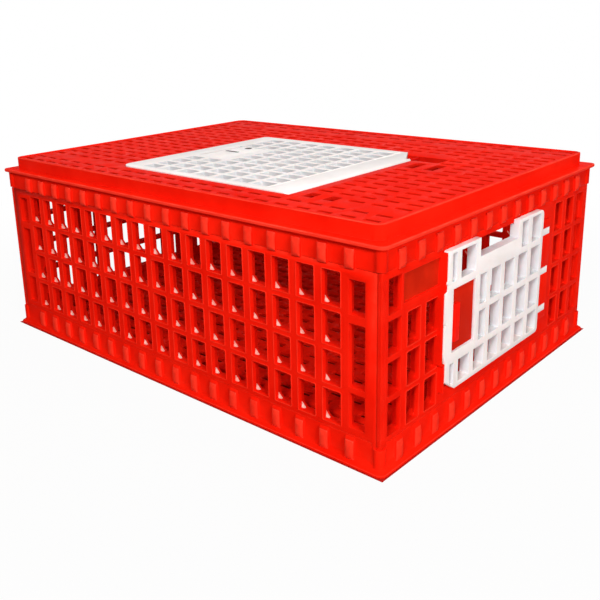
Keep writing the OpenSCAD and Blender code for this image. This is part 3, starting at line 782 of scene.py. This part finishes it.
@dataclass
class Rims(Repeat):
    """Raised rims round openings: sizes are Across, Up, Corner and Bead."""

    upright: bool = False

    def unit(self, tree: Tree, size: dict[str, Socket]) -> Node:
        """Adds one rim in the X and Y plane, or in the X and Z plane when it stands upright.

        Args:
            tree: the geometry tree.
            size: the socket of each named size, in metres.

        Returns:
            The node whose first output is the rim.
        """
        outline = add_node(
            tree,
            "GeometryNodeCurvePrimitiveQuadrilateral",
            {},
            {"Width": size["Across"], "Height": size["Up"]},
        )
        rounded = add_node(
            tree,
            "GeometryNodeFilletCurve",
            {"mode": "POLY", "in:Count": 3},
            {"Curve": outline, "Radius": size["Corner"]},
        )
        wire = add_node(
            tree, "GeometryNodeCurvePrimitiveCircle", {"in:Resolution": 8}, {"Radius": size["Bead"]}
        )
        rim = add_node(tree, "GeometryNodeCurveToMesh", {}, {"Curve": rounded, "Profile Curve": wire})
        smooth = add_node(tree, "GeometryNodeSetShadeSmooth", {}, {"Geometry": rim})
        if not self.upright:
            return smooth
        quarter_turn = (math.pi / 2, 0.0, 0.0)
        return add_node(tree, "GeometryNodeTransform", {"in:Rotation": quarter_turn}, {"Geometry": smooth})


@dataclass
class PathRib(NodesPiece):
    """A rib or bead that follows a path: sizes are Thick, Deep, Bend and Edge."""

    path: list[Point] = field(default_factory=list)
    closed: bool = False

    def start_mesh(self) -> bpy.types.Mesh:
        """Makes the path.

        Returns:
            A mesh of edges from point to point.
        """
        route = bpy.data.meshes.new(self.name + "_path")
        edges = [(at, at + 1) for at in range(len(self.path) - 1)]
        if self.closed:
            edges.append((len(self.path) - 1, 0))
        route.from_pydata([metres(point) for point in self.path], edges, [])
        return route

    def shape(self, tree: Tree, start: Socket, size: dict[str, Socket]) -> Node:
        """Sweeps a soft-edged bar along the path.

        Args:
            tree: the geometry tree.
            start: the path.
            size: the socket of each named size, in metres.

        Returns:
            The node whose first output is the rib.
        """
        route = add_node(tree, "GeometryNodeMeshToCurve", {}, {"Mesh": start})
        eased = add_node(
            tree,
            "GeometryNodeFilletCurve",
            {"mode": "POLY", "in:Count": 8},
            {"Curve": route, "Radius": size["Bend"]},
        )
        upright = add_node(tree, "GeometryNodeSetCurveNormal", {"mode": "MINIMUM_TWIST"}, {"Curve": eased})
        bar = add_node(
            tree,
            "GeometryNodeCurvePrimitiveQuadrilateral",
            {},
            {"Width": size["Thick"], "Height": size["Deep"]},
        )
        soft = add_node(
            tree,
            "GeometryNodeFilletCurve",
            {"mode": "POLY", "in:Count": 3},
            {"Curve": bar, "Radius": size["Edge"]},
        )
        swept = add_node(
            tree, "GeometryNodeCurveToMesh", {"in:Fill Caps": True}, {"Curve": upright, "Profile Curve": soft}
        )
        return add_node(
            tree, "GeometryNodeSetShadeSmooth", {"in:Shade Smooth": self.closed}, {"Geometry": swept}
        )


# ---------------------------------------------------------------- sub-assemblies


class SubAssembly:
    """A group of pieces that are built one after the other."""

    def pieces(self) -> list[Moulding | NodesPiece]:
        """Lists the pieces of the group."""
        raise NotImplementedError

    def build(self) -> None:
        """Builds every piece of the group and reports it."""
        for part in self.pieces():
            piece = part.build()
            faces = len(piece.data.polygons)
            log.info("%s: %s rides on %s, %d faces", type(self).__name__, piece.name, part.body, faces)


@dataclass
class Base(SubAssembly):
    """Base band and slotted floor; the radii of their edges are in mm."""

    band_radius: float = 0.9
    floor_radius: float = 0.6

    def pieces(self) -> list[Moulding]:
        """Lists the pieces of the base.

        Returns:
            The band and the floor.
        """
        return [
            Moulding("base_skirt", "crate", Finish.RED_SHELL, self.band_radius),
            Moulding("floor_grille", "crate", Finish.RED_SHELL, self.floor_radius, segments=1),
        ]


@dataclass
class Roof(SubAssembly):
    """Roof band with its stacking step, and the slotted deck; sizes in mm."""

    band_radius: float = 0.9
    deck_radius: float = 0.6
    # the flange's outer edge takes a painted highlight
    flange_edge: tuple[Box, ...] = (
        ((0.0, 286.5, 274.2), (390.5, 290.5, 277.8)),
        ((386.5, 0.0, 274.2), (390.5, 290.5, 277.8)),
    )
    # every face of the deck but its top, which also takes in the hinge trough: these faces take a painted
    # shade
    below_deck_top: tuple[Box, ...] = (((-400.0, -300.0, 280.0), (400.0, 300.0, 295.0)),)

    def pieces(self) -> list[Moulding]:
        """Lists the pieces of the roof.

        Returns:
            The band and the deck.
        """
        # the flange edge takes a painted highlight
        painted_flange_highlight = Accent(Finish.RED_PAD, self.flange_edge, mirrored=True)
        # the deck's lower faces and the hinge trough take a painted shade
        painted_deck_shade = Accent(Finish.RED_TROUGH, self.below_deck_top)
        return [
            Moulding("roof_frame", "crate", Finish.RED_SHELL, self.band_radius, accent=painted_flange_highlight),
            Moulding("roof_deck", "crate", Finish.RED_SHELL, self.deck_radius, accent=painted_deck_shade),
        ]


@dataclass
class Walls(SubAssembly):
    """Four lattice walls and the rods that pin their corners; sizes in mm."""

    wall_radius: float = 0.8
    rod_radius: float = 0.5
    blank_plate: tuple[Box, ...] = (((377.5, -238.5, 198.5), (378.5, -155.5, 235.0)),)

    def pieces(self) -> list[Moulding]:
        """Lists the walls and the corner rods.

        Returns:
            The four walls, then the four rods.
        """
        # the blank plate takes a painted shade
        plate = Accent(Finish.RED_PLATE, self.blank_plate)
        walls = {"front_wall": None, "rear_wall": None, "door_end_wall": plate, "plain_end_wall": None}
        corners = ("front_left", "front_right", "rear_left", "rear_right")
        return [
            Moulding(wall, "crate", Finish.RED_SHELL, self.wall_radius, accent=accent)
            for wall, accent in walls.items()
        ] + [Moulding(at + "_corner_rod", "crate", Finish.RED_ROD, self.rod_radius) for at in corners]


@dataclass
class TopDoor(SubAssembly):
    """Roof door with its pins and sliding catch; sizes in mm."""

    door_radius: float = 0.8
    small_radius: float = 0.4
    cells: tuple[Box, ...] = (((-123.0, -199.5, 288.5), (141.0, 107.5, 296.4)),)
    # the catch's faces are painted a shaded grey from this depth below its top downwards
    catch_skin: float = 0.2

    def pieces(self) -> list[Moulding]:
        """Lists the pieces of the roof door.

        Returns:
            The door, its two pins and its catch.
        """
        skin_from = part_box("top_door_catch")[1][2] / MM - self.catch_skin
        # the roof door's cells take a painted shade
        painted_roof_cell_shade = Accent(Finish.WHITE_DEEP, self.cells)
        # the catch's slot, hole, edge gap and underside take a painted shade
        painted_catch_shade = Accent(Finish.GREY_CATCH, (((-400.0, -300.0, 200.0), (400.0, 300.0, skin_from)),))
        return [
            Moulding("top_door", "top_door", Finish.WHITE_DOOR, self.door_radius, accent=painted_roof_cell_shade),
            Moulding("top_door_front_pin", "top_door", Finish.RED_ROD, self.small_radius),
            Moulding("top_door_rear_pin", "top_door", Finish.RED_ROD, self.small_radius),
            Moulding("top_door_catch", "top_catch", Finish.WHITE_DOOR, self.small_radius, accent=painted_catch_shade),
        ]


@dataclass
class EndDoor(SubAssembly):
    """End door with its hinge rod and sliding latch; sizes in mm."""

    door_radius: float = 0.8
    rod_radius: float = 0.3
    cells: tuple[Box, ...] = (((377.5, -146.0, 64.0), (389.3, 100.0, 236.0)),)
    grip: tuple[Box, ...] = (((386.6, -136.5, 118.0), (390.5, -123.5, 170.0)),)

    def pieces(self) -> list[Moulding]:
        """Lists the pieces of the end door.

        Returns:
            The door, its rod and its latch.
        """
        # the end door's cells take a painted shade
        cool = Accent(Finish.WHITE_CELL, self.cells)
        # the grip takes a painted highlight
        painted_grip_highlight = Accent(Finish.RED_GRIP, self.grip)
        return [
            Moulding("side_door", "side_door", Finish.WHITE_DOOR, self.door_radius, accent=cool),
            Moulding("side_door_hinge_rod", "crate", Finish.RED_ROD, self.rod_radius),
            Moulding("side_door_latch", "side_latch", Finish.RED_LATCH, self.door_radius, accent=painted_grip_highlight),
        ]


# ---------------------------------------------------------------- fine details


class Probe:
    """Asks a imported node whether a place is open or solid."""

    def __init__(self, node: str) -> None:
        """Builds the search tree.

        Args:
            node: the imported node.
        """
        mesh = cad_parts[node].data
        corners = [vertex.co.copy() for vertex in mesh.vertices]
        faces = [tuple(face.vertices) for face in mesh.polygons]
        self.tree = BVHTree.FromPolygons(corners, faces)

    def hits(self, start_mm: Point, towards: Point, reach_mm: float) -> bool:
        """Casts a ray at the node.

        Args:
            start_mm: where the ray starts.
            towards: its direction.
            reach_mm: how far it looks.

        Returns:
            True where it meets the node.
        """
        ahead = Vector(towards).normalized()
        return self.tree.ray_cast(metres(start_mm), ahead, reach_mm * MM)[0] is not None


@dataclass(frozen=True)
class Facing:
    """The way that a wall faces, in degrees from the front wall's, and the spacing of its cells."""

    turn: float
    reach: float
    pitch: float
    columns: int


@dataclass(frozen=True)
class Lattice:
    """Sizes of the bands, wall cells and deck slots, in mm."""

    half_l: float = 390.0
    half_w: float = 290.0
    # how far the faces of the bands and of the walls lie inside that outline
    pad_face: float = 5.5
    wall_face: float = 8.5
    face_t: float = 6.0
    long_pitch: float = 38.905
    long_cols: int = 19
    long_pad_shift: float = 8.2
    end_pad_first: float = -246.5
    end_pad_pitch: float = 39.9
    end_pads: int = 13
    end_pitch: float = 39.2857
    end_cols: int = 14
    row_low: float = 43.5
    row_h: float = 42.5
    row_pitch: float = 50.0
    rows: int = 4
    bar_w: float = 12.0
    blade_t: float = 6.0
    # rays at a wall start this far outside, pass through an open cell and end in a bar's thickness
    probe_from: float = 20.0
    cell_depth: float = 60.0
    bar_depth: float = 45.0
    # slots stand in staggered rows, so a place half a pitch on may hold one too
    slot_pitch: tuple[float, float] = (33.5, 24.5)
    slot_half: tuple[float, float] = (12.0, 5.0)
    slot_reach: int = 24
    # places, counted from a slot's centre, that are open along it and solid round it
    slot_open: tuple[float, ...] = (-10.0, 0.0, 10.0)
    slot_beside: tuple[tuple[float, float], ...] = (
        (-12.2, 0.0),
        (12.2, 0.0),
        (0.0, -4.4),
        (0.0, 4.4),
        (-9.0, -4.4),
        (9.0, 4.4),
    )
    probe_above: float = 5.0
    slot_depth: float = 12.0
    deck_top: float = 295.5

    def long_walls(self) -> dict[str, Facing]:
        """Tells how the two long walls face.

        Returns:
            The facing of each wall, by the name of its node.
        """
        return {
            "front_wall": Facing(0.0, self.half_w, self.long_pitch, self.long_cols),
            "rear_wall": Facing(180.0, self.half_w, self.long_pitch, self.long_cols),
        }

    def end_walls(self) -> dict[str, Facing]:
        """Tells how the two end walls face.

        Returns:
            The facing of each wall, by the name of its node.
        """
        return {
            "door_end_wall": Facing(90.0, self.half_l, self.end_pitch, self.end_cols),
            "plain_end_wall": Facing(270.0, self.half_l, self.end_pitch, self.end_cols),
        }

    def pad_spots(self, level: float) -> list[Spot]:
        """Lists the rib pads of one band.

        Args:
            level: height of the pads' centres.

        Returns:
            One spot for each pad.
        """
        end = [
            Spot(self.half_l - self.pad_face, self.end_pad_first + at * self.end_pad_pitch, level)
            for at in range(self.end_pads)
        ]
        long = [
            Spot(
                self.half_w - self.pad_face,
                (at - self.long_cols / 2) * self.long_pitch + self.long_pad_shift,
                level,
            )
            for at in range(1, self.long_cols)
        ]
        front = [spot.turned(270) for spot in long]
        return [spot.turned(side) for side in (0, 180) for spot in end + front]

    def wall_cells(self, node: str, facing: Facing) -> list[tuple[float, float]]:
        """Finds the open full cells of one wall, with solid bars on all four sides.

        Args:
            node: the wall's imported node.
            facing: the way that it faces.

        Returns:
            The centre across the wall and the foot of each open cell.
        """
        probe = Probe(node)
        away = -facing.reach - self.probe_from
        inward = Spot(0, 1, 0).turned(facing.turn).point
        gap = (self.row_pitch - self.row_h) / 2
        found = []
        for column in range(1, facing.columns - 1):
            across = (column - facing.columns / 2 + 0.5) * facing.pitch
            for row in range(self.rows):
                foot = self.row_low + row * self.row_pitch
                middle = foot + self.row_h / 2
                if probe.hits(Spot(across, away, middle).turned(facing.turn).point, inward, self.cell_depth):
                    continue
                beside = (
                    (across - facing.pitch / 2, middle),
                    (across + facing.pitch / 2, middle),
                    (across, foot - gap),
                    (across, foot + self.row_h + gap),
                )
                bars = [Spot(along, away, up).turned(facing.turn).point for along, up in beside]
                if all(probe.hits(bar, inward, self.bar_depth) for bar in bars):
                    found.append((across, foot))
        return found

    def deck_slots(self) -> list[tuple[float, float]]:
        """Finds the open slots of the roof deck, with solid deck on all sides.

        Returns:
            The centre of each slot.
        """
        probe = Probe("roof_deck")
        low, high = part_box("roof_deck")
        half_x, half_y = self.slot_half
        down = (0.0, 0.0, -1.0)
        above = self.deck_top + self.probe_above
        found = []
        for column in range(-self.slot_reach, self.slot_reach + 1):
            for row in range(-self.slot_reach, self.slot_reach + 1):
                x, y = column * self.slot_pitch[0] / 2, row * self.slot_pitch[1] / 2
                if not (low[0] < (x - half_x) * MM and (x + half_x) * MM < high[0]):
                    continue
                if not (low[1] < (y - half_y) * MM and (y + half_y) * MM < high[1]):
                    continue
                if any(probe.hits((x + dx, y, above), down, self.slot_depth) for dx in self.slot_open):
                    continue
                around = [(x + dx, y + dy, above) for dx, dy in self.slot_beside]
                if all(probe.hits(place, down, self.slot_depth) for place in around):
                    found.append((x, y))
        return found


@dataclass(frozen=True)
class Bead:
    """One bead round a flange or the stacking step; sizes in mm.

    The inset of its outer side counts from the crate's outline, the level is that of its middle,
    and the bend is the radius of its outer corners.
    """

    name: str
    inset: float
    level: float
    bend: float
    thick: float


@dataclass
class Details(SubAssembly):
    """Pads, rims, gusset caps, beads and ribs that Geometry Nodes make; sizes in mm."""

    lattice: Lattice = Lattice()
    pad_width: float = 12.8
    pad_proud: float = 2.8
    pad_sink: float = 1.5
    # level of the pads' centres, and how tall they are
    roof_pad: tuple[float, float] = (255.6, 23.0)
    base_pad: tuple[float, float] = (18.4, 26.0)
    cell_rim_corner: float = 1.6
    # radius of the rim's bead, its distance from the cell's edge, and how far its middle stands out
    cell_rim: float = 0.65
    cell_rim_gap: float = 0.7
    cell_rim_proud: float = 0.1
    cap_reach: float = 7.3
    cap_depth: float = 4.4
    cap_proud: float = 0.5
    cap_overlap: float = 0.3
    slot_rim: float = 0.5
    # length and width of a slot's rim, between the middles of its beads
    slot_rim_size: tuple[float, float] = (23.2, 7.7)
    slot_rim_corner: float = 1.5
    slot_rim_sink: float = 0.2
    # section of each rib: its thickness and its depth
    doorway_rib: tuple[float, float] = (11.6, 2.4)
    doorway_rib_in: float = 6.5
    doorway_gap: float = 2.2
    doorway_step: float = 6.0
    doorway_steps_at: tuple[float, float] = (96.0, 192.0)
    doorway_slant: float = 1.0
    # where the rib starts above the door's foot and ends below its head
    doorway_ends: tuple[float, float] = (2.0, 1.0)
    deck_rib: tuple[float, float] = (2.4, 7.0)
    deck_rib_ends: tuple[float, float] = (205.0, 300.0)
    deck_rib_y: float = -180.0
    deck_rib_drop: float = 7.2
    rib_bend: float = 0.4
    rib_edge: float = 0.7
    beads: tuple[Bead, ...] = (
        Bead("roof_flange_bead", inset=0.0, level=276.9, bend=10.0, thick=2.6),
        Bead("base_flange_bead", inset=0.0, level=2.4, bend=10.0, thick=2.2),
        Bead("stacking_step_bead", inset=16.0, level=296.0, bend=14.0, thick=2.0),
    )
    # share of its thickness to which each edge of a bead is rounded
    bead_rounding: float = 0.46

    def pieces(self) -> list[NodesPiece]:
        """Lists every detail of the crate.

        Returns:
            The details of the bands, the walls and the roof, then the ribs and beads.
        """
        lattice = self.lattice
        return [
            self._pads("roof_band_pads", *self.roof_pad),
            self._pads("base_band_pads", *self.base_pad),
            self._cell_rims("long_cell_rims", lattice.long_walls(), lattice.long_pitch),
            self._cell_rims("end_cell_rims", lattice.end_walls(), lattice.end_pitch),
            self._gusset_caps(),
            self._slot_rims(),
            self._doorway_rib(),
            self._deck_rib(),
            *(self._bead(bead) for bead in self.beads),
        ]

    def _pads(self, name: str, level: float, height: float) -> CrownedPads:
        """Lays the crowned pads of one band.

        Args:
            name: the piece's name.
            level: height of the pads' centres.
            height: how tall a pad is.

        Returns:
            The pads.
        """
        pad = {"Width": self.pad_width, "Proud": self.pad_proud, "Sink": self.pad_sink, "Height": height}
        # the pads take a painted highlight
        return CrownedPads(name, Finish.RED_PAD, pad, spots=self.lattice.pad_spots(level))

    def _cell_rims(self, name: str, walls: dict[str, Facing], pitch: float) -> Rims:
        """Sets a rim round every open cell of two opposite walls.

        Args:
            name: the piece's name.
            walls: the two walls.
            pitch: spacing of their cells.

        Returns:
            The rims.
        """
        lattice = self.lattice
        spots = []
        for node, facing in walls.items():
            front = lattice.wall_face - facing.reach - self.cell_rim_proud
            for across, foot in lattice.wall_cells(node, facing):
                spots.append(Spot(across, front, foot + lattice.row_h / 2).turned(facing.turn))
        rim = {
            "Across": pitch - lattice.bar_w + 2 * self.cell_rim_gap,
            "Up": lattice.row_h + 2 * self.cell_rim_gap,
            "Corner": self.cell_rim_corner,
            "Bead": self.cell_rim,
        }
        # the cell rims take a painted highlight
        return Rims(name, Finish.RED_EDGE, rim, spots=spots, upright=True)

    def _gusset_caps(self) -> GussetCaps:
        """Sets a cap over both lower gussets of every open cell of the long walls.

        Returns:
            The caps.
        """
        lattice = self.lattice
        side = (lattice.long_pitch - lattice.blade_t) / 2 + self.cap_overlap
        below = (lattice.row_pitch - lattice.row_h - lattice.blade_t) / 2 + self.cap_overlap
        spots = []
        for node, facing in lattice.long_walls().items():
            back = lattice.wall_face - facing.reach + lattice.face_t - self.cap_proud
            for across, foot in lattice.wall_cells(node, facing):
                spots.append(Spot(across - side, back, foot - below).turned(facing.turn))
                spots.append(Spot(across + side, back, foot - below, 0.0, -90.0).turned(facing.turn))
        cap = {"Reach": self.cap_reach, "Depth": self.cap_depth}
        # the gusset caps take a painted glint
        return GussetCaps("cell_gusset_caps", Finish.PAINTED_GLINT, cap, spots=spots)

    def _slot_rims(self) -> Rims:
        """Sets a rim round every open slot of the roof deck.

        Returns:
            The rims.
        """
        level = self.lattice.deck_top - self.slot_rim_sink
        spots = [Spot(x, y, level) for x, y in self.lattice.deck_slots()]
        across, up = self.slot_rim_size
        rim = {"Across": across, "Up": up, "Corner": self.slot_rim_corner, "Bead": self.slot_rim}
        return Rims("deck_slot_rims", Finish.RED_SHELL, rim, spots=spots)

    def _doorway_rib(self) -> PathRib:
        """Lays the rib that stands beside the free edge of the end door.

        Returns:
            The rib, which follows the door's outline a millimetre away from it.
        """
        low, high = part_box("side_door")
        step_low, step_high = self.doorway_steps_at
        x = self.lattice.half_l - self.doorway_rib_in
        outer = low[1] / MM - self.doorway_gap
        inner = outer + self.doorway_step
        path = [
            (x, inner, low[2] / MM + self.doorway_ends[0]),
            (x, inner, step_low),
            (x, outer, step_low + self.doorway_slant),
            (x, outer, step_high - self.doorway_slant),
            (x, inner, step_high),
            (x, inner, high[2] / MM - self.doorway_ends[1]),
        ]
        return self._rib("doorway_rib", self.doorway_rib, path)

    def _deck_rib(self) -> PathRib:
        """Hangs a stiffening rib under the deck beside the front wide holes.

        Returns:
            The rib.
        """
        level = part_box("roof_deck")[1][2] / MM - self.deck_rib_drop
        path = [(x, self.deck_rib_y, level) for x in self.deck_rib_ends]
        return self._rib("deck_rib", self.deck_rib, path)

    def _rib(self, name: str, section: tuple[float, float], path: list[Point]) -> PathRib:
        """Runs a red rib along a path.

        Args:
            name: the piece's name.
            section: its thickness and depth.
            path: the points that it follows.

        Returns:
            The rib.
        """
        thick, deep = section
        rib = {"Thick": thick, "Deep": deep, "Bend": self.rib_bend, "Edge": self.rib_edge}
        return PathRib(name, Finish.RED_SHELL, rib, path=path)

    def _bead(self, bead: Bead) -> PathRib:
        """Runs a bead round a flange or the stacking step.

        Args:
            bead: its name and sizes.

        Returns:
            The closed bead.
        """
        half = bead.thick / 2
        x = self.lattice.half_l - bead.inset - half
        y = self.lattice.half_w - bead.inset - half
        loop = [(-x, -y, bead.level), (x, -y, bead.level), (x, y, bead.level), (-x, y, bead.level)]
        section = {
            "Thick": bead.thick,
            "Deep": bead.thick,
            "Bend": bead.bend - half,
            "Edge": bead.thick * self.bead_rounding,
        }
        # the beads take a painted highlight
        return PathRib(bead.name, Finish.RED_RIM, section, path=loop, closed=True)


# ---------------------------------------------------------------- studio


@dataclass(frozen=True)
class Lamp:
    """One soft square lamp aimed at a point; sizes in metres and watts."""

    name: str
    place: Point
    aim: Point
    size: float
    power: float

    def build(self) -> None:
        """Hangs the lamp."""
        data = bpy.data.lights.new(self.name, "AREA")
        data.shape = "SQUARE"
        data.size = self.size
        data.energy = self.power
        lamp = put_in_scene(self.name, data)
        towards = Vector(self.aim) - Vector(self.place)
        lamp.rotation_euler = towards.to_track_quat("-Z", "Y").to_euler()
        lamp.location = self.place


@dataclass
class Studio:
    """Pale floor, plain world light, soft lamps and the camera; sizes in metres."""

    floor_half: float = 6.0
    floor_level: float = -0.0005
    ambient: float = 0.17
    floor_glow: tuple[float, float] = (0.955, 1.0)
    glow_reach: tuple[float, float] = (0.5, 1.3)
    # the footprint reaches a little past the crate, so a thin line of the painted shadow shows round its foot
    footprint: tuple[float, float] = (0.3912, 0.2912)
    paper: str = "#B9B6B4"
    # painted shadow and red bounce light on the floor under the crate
    painted_shadow_under_crate: str = "#B0201A"
    lamps: tuple[Lamp, ...] = (
        Lamp("key_lamp", (1.2, -2.35, 1.85), (0.0, 0.0, 0.15), 0.6, 44.0),
        Lamp("top_lamp", (0.1, 0.5, 2.6), (0.0, 0.0, 0.2), 1.0, 22.0),
        Lamp("side_lamp", (2.75, -1.3, 1.3), (0.3, 0.0, 0.15), 0.8, 54.0),
    )
    camera_place: Point = (0.8398825, -0.9481614, 0.5176218)
    camera_azimuth: float = -0.7502875
    camera_elevation: float = -0.2734773
    camera_roll: float = -0.0298864
    camera_lens: float = 47.187878
    camera_shift: tuple[float, float] = (0.0503101, -0.1088008)

    def build(self) -> None:
        """Builds everything in the studio."""
        self._world()
        self._floor()
        for lamp in self.lamps:
            lamp.build()
        self._camera()
        bpy.context.scene.view_settings.view_transform = "Standard"

    def _seen_directly(self, tree: Tree) -> Node:
        """Tells rays that show the backdrop from those that light the crate.

        Args:
            tree: the node tree that needs the factor.

        Returns:
            The node whose first output is one for camera, glossy and transmission rays.
        """
        ray = add_node(tree, "ShaderNodeLightPath").outputs
        first = add_node(
            tree,
            "ShaderNodeMath",
            {"operation": "MAXIMUM"},
            {"0": ray["Is Camera Ray"], "1": ray["Is Glossy Ray"]},
        )
        return add_node(
            tree,
            "ShaderNodeMath",
            {"operation": "MAXIMUM"},
            {"0": first, "1": ray["Is Transmission Ray"]},
        )

    def _world(self) -> None:
        """Lights the crate evenly from a plain white world."""
        world = bpy.data.worlds.new("studio_world")
        world.use_nodes = True
        tree = world.node_tree
        tree.nodes.clear()
        strength = add_node(
            tree,
            "ShaderNodeMapRange",
            {"in:To Min": self.ambient, "in:To Max": 1.0},
            {"Value": self._seen_directly(tree)},
        )
        white = add_node(
            tree, "ShaderNodeBackground", {"in:Color": (1.0, 1.0, 1.0, 1.0)}, {"Strength": strength}
        )
        add_node(tree, "ShaderNodeOutputWorld", {}, {"Surface": white})
        bpy.context.scene.world = world

    def _floor(self) -> None:
        """Lays a pale matt floor that keeps the crate's soft shadow, with a painted shadow under the crate
        and round its foot.
        """
        mesh = bpy.data.meshes.new("floor")
        signs = ((-1, -1), (1, -1), (1, 1), (-1, 1))
        corners = [(x * self.floor_half, y * self.floor_half, self.floor_level) for x, y in signs]
        mesh.from_pydata(corners, [], [(0, 1, 2, 3)])
        floor = put_in_scene("floor", mesh)
        material = bpy.data.materials.new("matt_white_paper")
        material.use_nodes = True
        tree = material.node_tree
        tree.nodes.clear()
        outside = self._outside_footprint(tree)
        under, beside = srgb_to_linear(self.painted_shadow_under_crate), srgb_to_linear(self.paper)
        tint = add_node(
            tree, "ShaderNodeMix", {"data_type": "RGBA", "in:6": under, "in:7": beside}, {"0": outside}
        )
        paper = add_node(tree, "ShaderNodeBsdfDiffuse", {"in:Roughness": 0.6}, {"Color": tint.outputs[2]})
        glow = add_node(tree, "ShaderNodeEmission", {"in:Color": (1.0, 1.0, 1.0, 1.0), "in:Strength": 1.0})
        held = add_node(
            tree, "ShaderNodeMath", {"operation": "MULTIPLY"}, {"0": outside, "1": self._fade(tree)}
        )
        share = add_node(
            tree, "ShaderNodeMath", {"operation": "MULTIPLY"}, {"0": self._seen_directly(tree), "1": held}
        )
        mixed = add_node(tree, "ShaderNodeMixShader", {}, {"0": share, "1": paper, "2": glow})
        add_node(tree, "ShaderNodeOutputMaterial", {}, {"Surface": mixed})
        mesh.materials.append(material)

    def _outside_footprint(self, tree: Tree) -> Node:
        """Tells the floor under the crate, which takes a painted dark red shadow, from the floor beside it.

        Args:
            tree: the floor's node tree.

        Returns:
            The node whose first output is zero under the crate and one beside it.
        """
        place = add_node(tree, "ShaderNodeTexCoord").outputs["Object"]
        axes = add_node(tree, "ShaderNodeSeparateXYZ", {}, {"Vector": place}).outputs
        beside = []
        for axis, half in zip("XY", self.footprint):
            away = add_node(tree, "ShaderNodeMath", {"operation": "ABSOLUTE"}, {"0": axes[axis]})
            over = {"operation": "GREATER_THAN", "in:1": half}
            beside.append(add_node(tree, "ShaderNodeMath", over, {"0": away}))
        return add_node(tree, "ShaderNodeMath", {"operation": "MAXIMUM"}, {"0": beside[0], "1": beside[1]})

    def _fade(self, tree: Tree) -> Node:
        """Keeps the floor a little shaded near the crate and white further out.

        Args:
            tree: the floor's node tree.

        Returns:
            The node whose first output is the share of plain white at each place.
        """
        place = add_node(tree, "ShaderNodeTexCoord").outputs["Object"]
        reach = add_node(tree, "ShaderNodeVectorMath", {"operation": "LENGTH"}, {"0": place})
        return add_node(
            tree,
            "ShaderNodeMapRange",
            {
                "interpolation_type": "SMOOTHSTEP",
                "in:From Min": self.glow_reach[0],
                "in:From Max": self.glow_reach[1],
                "in:To Min": self.floor_glow[0],
                "in:To Max": self.floor_glow[1],
            },
            {"Value": reach.outputs["Value"]},
        )

    def _camera(self) -> None:
        """Sets the camera to look down at the corner between the front wall and the end door."""
        data = bpy.data.cameras.new("camera")
        data.sensor_width = 36.0
        data.sensor_fit = "HORIZONTAL"
        data.lens = self.camera_lens
        data.shift_x, data.shift_y = self.camera_shift
        data.clip_start = 0.05
        data.clip_end = 50.0
        camera = put_in_scene("camera", data)
        azimuth, elevation, roll = self.camera_azimuth, self.camera_elevation, self.camera_roll
        level_ahead = Vector((math.sin(azimuth), math.cos(azimuth), 0.0))
        ahead = level_ahead * math.cos(elevation) + Vector((0.0, 0.0, math.sin(elevation)))
        level_right = Vector((math.cos(azimuth), -math.sin(azimuth), 0.0))
        level_up = level_right.cross(ahead)
        right = math.cos(roll) * level_right + math.sin(roll) * level_up
        up = -math.sin(roll) * level_right + math.cos(roll) * level_up
        turn = Matrix((right, up, -ahead)).transposed()
        camera.matrix_world = Matrix.Translation(self.camera_place) @ turn.to_4x4()
        bpy.context.scene.camera = camera


def main() -> None:
    """Builds the studio and the finishes, then every sub-assembly in turn."""
    logging.basicConfig(level=logging.INFO, format="%(message)s")
    Studio().build()
    for finish in Finish:
        log.info("finish %s for %s", finish.material.name, finish.slot)
    for group in (Base(), Roof(), Walls(), TopDoor(), EndDoor(), Details()):
        group.build()


if __name__ == "__main__":
    main()
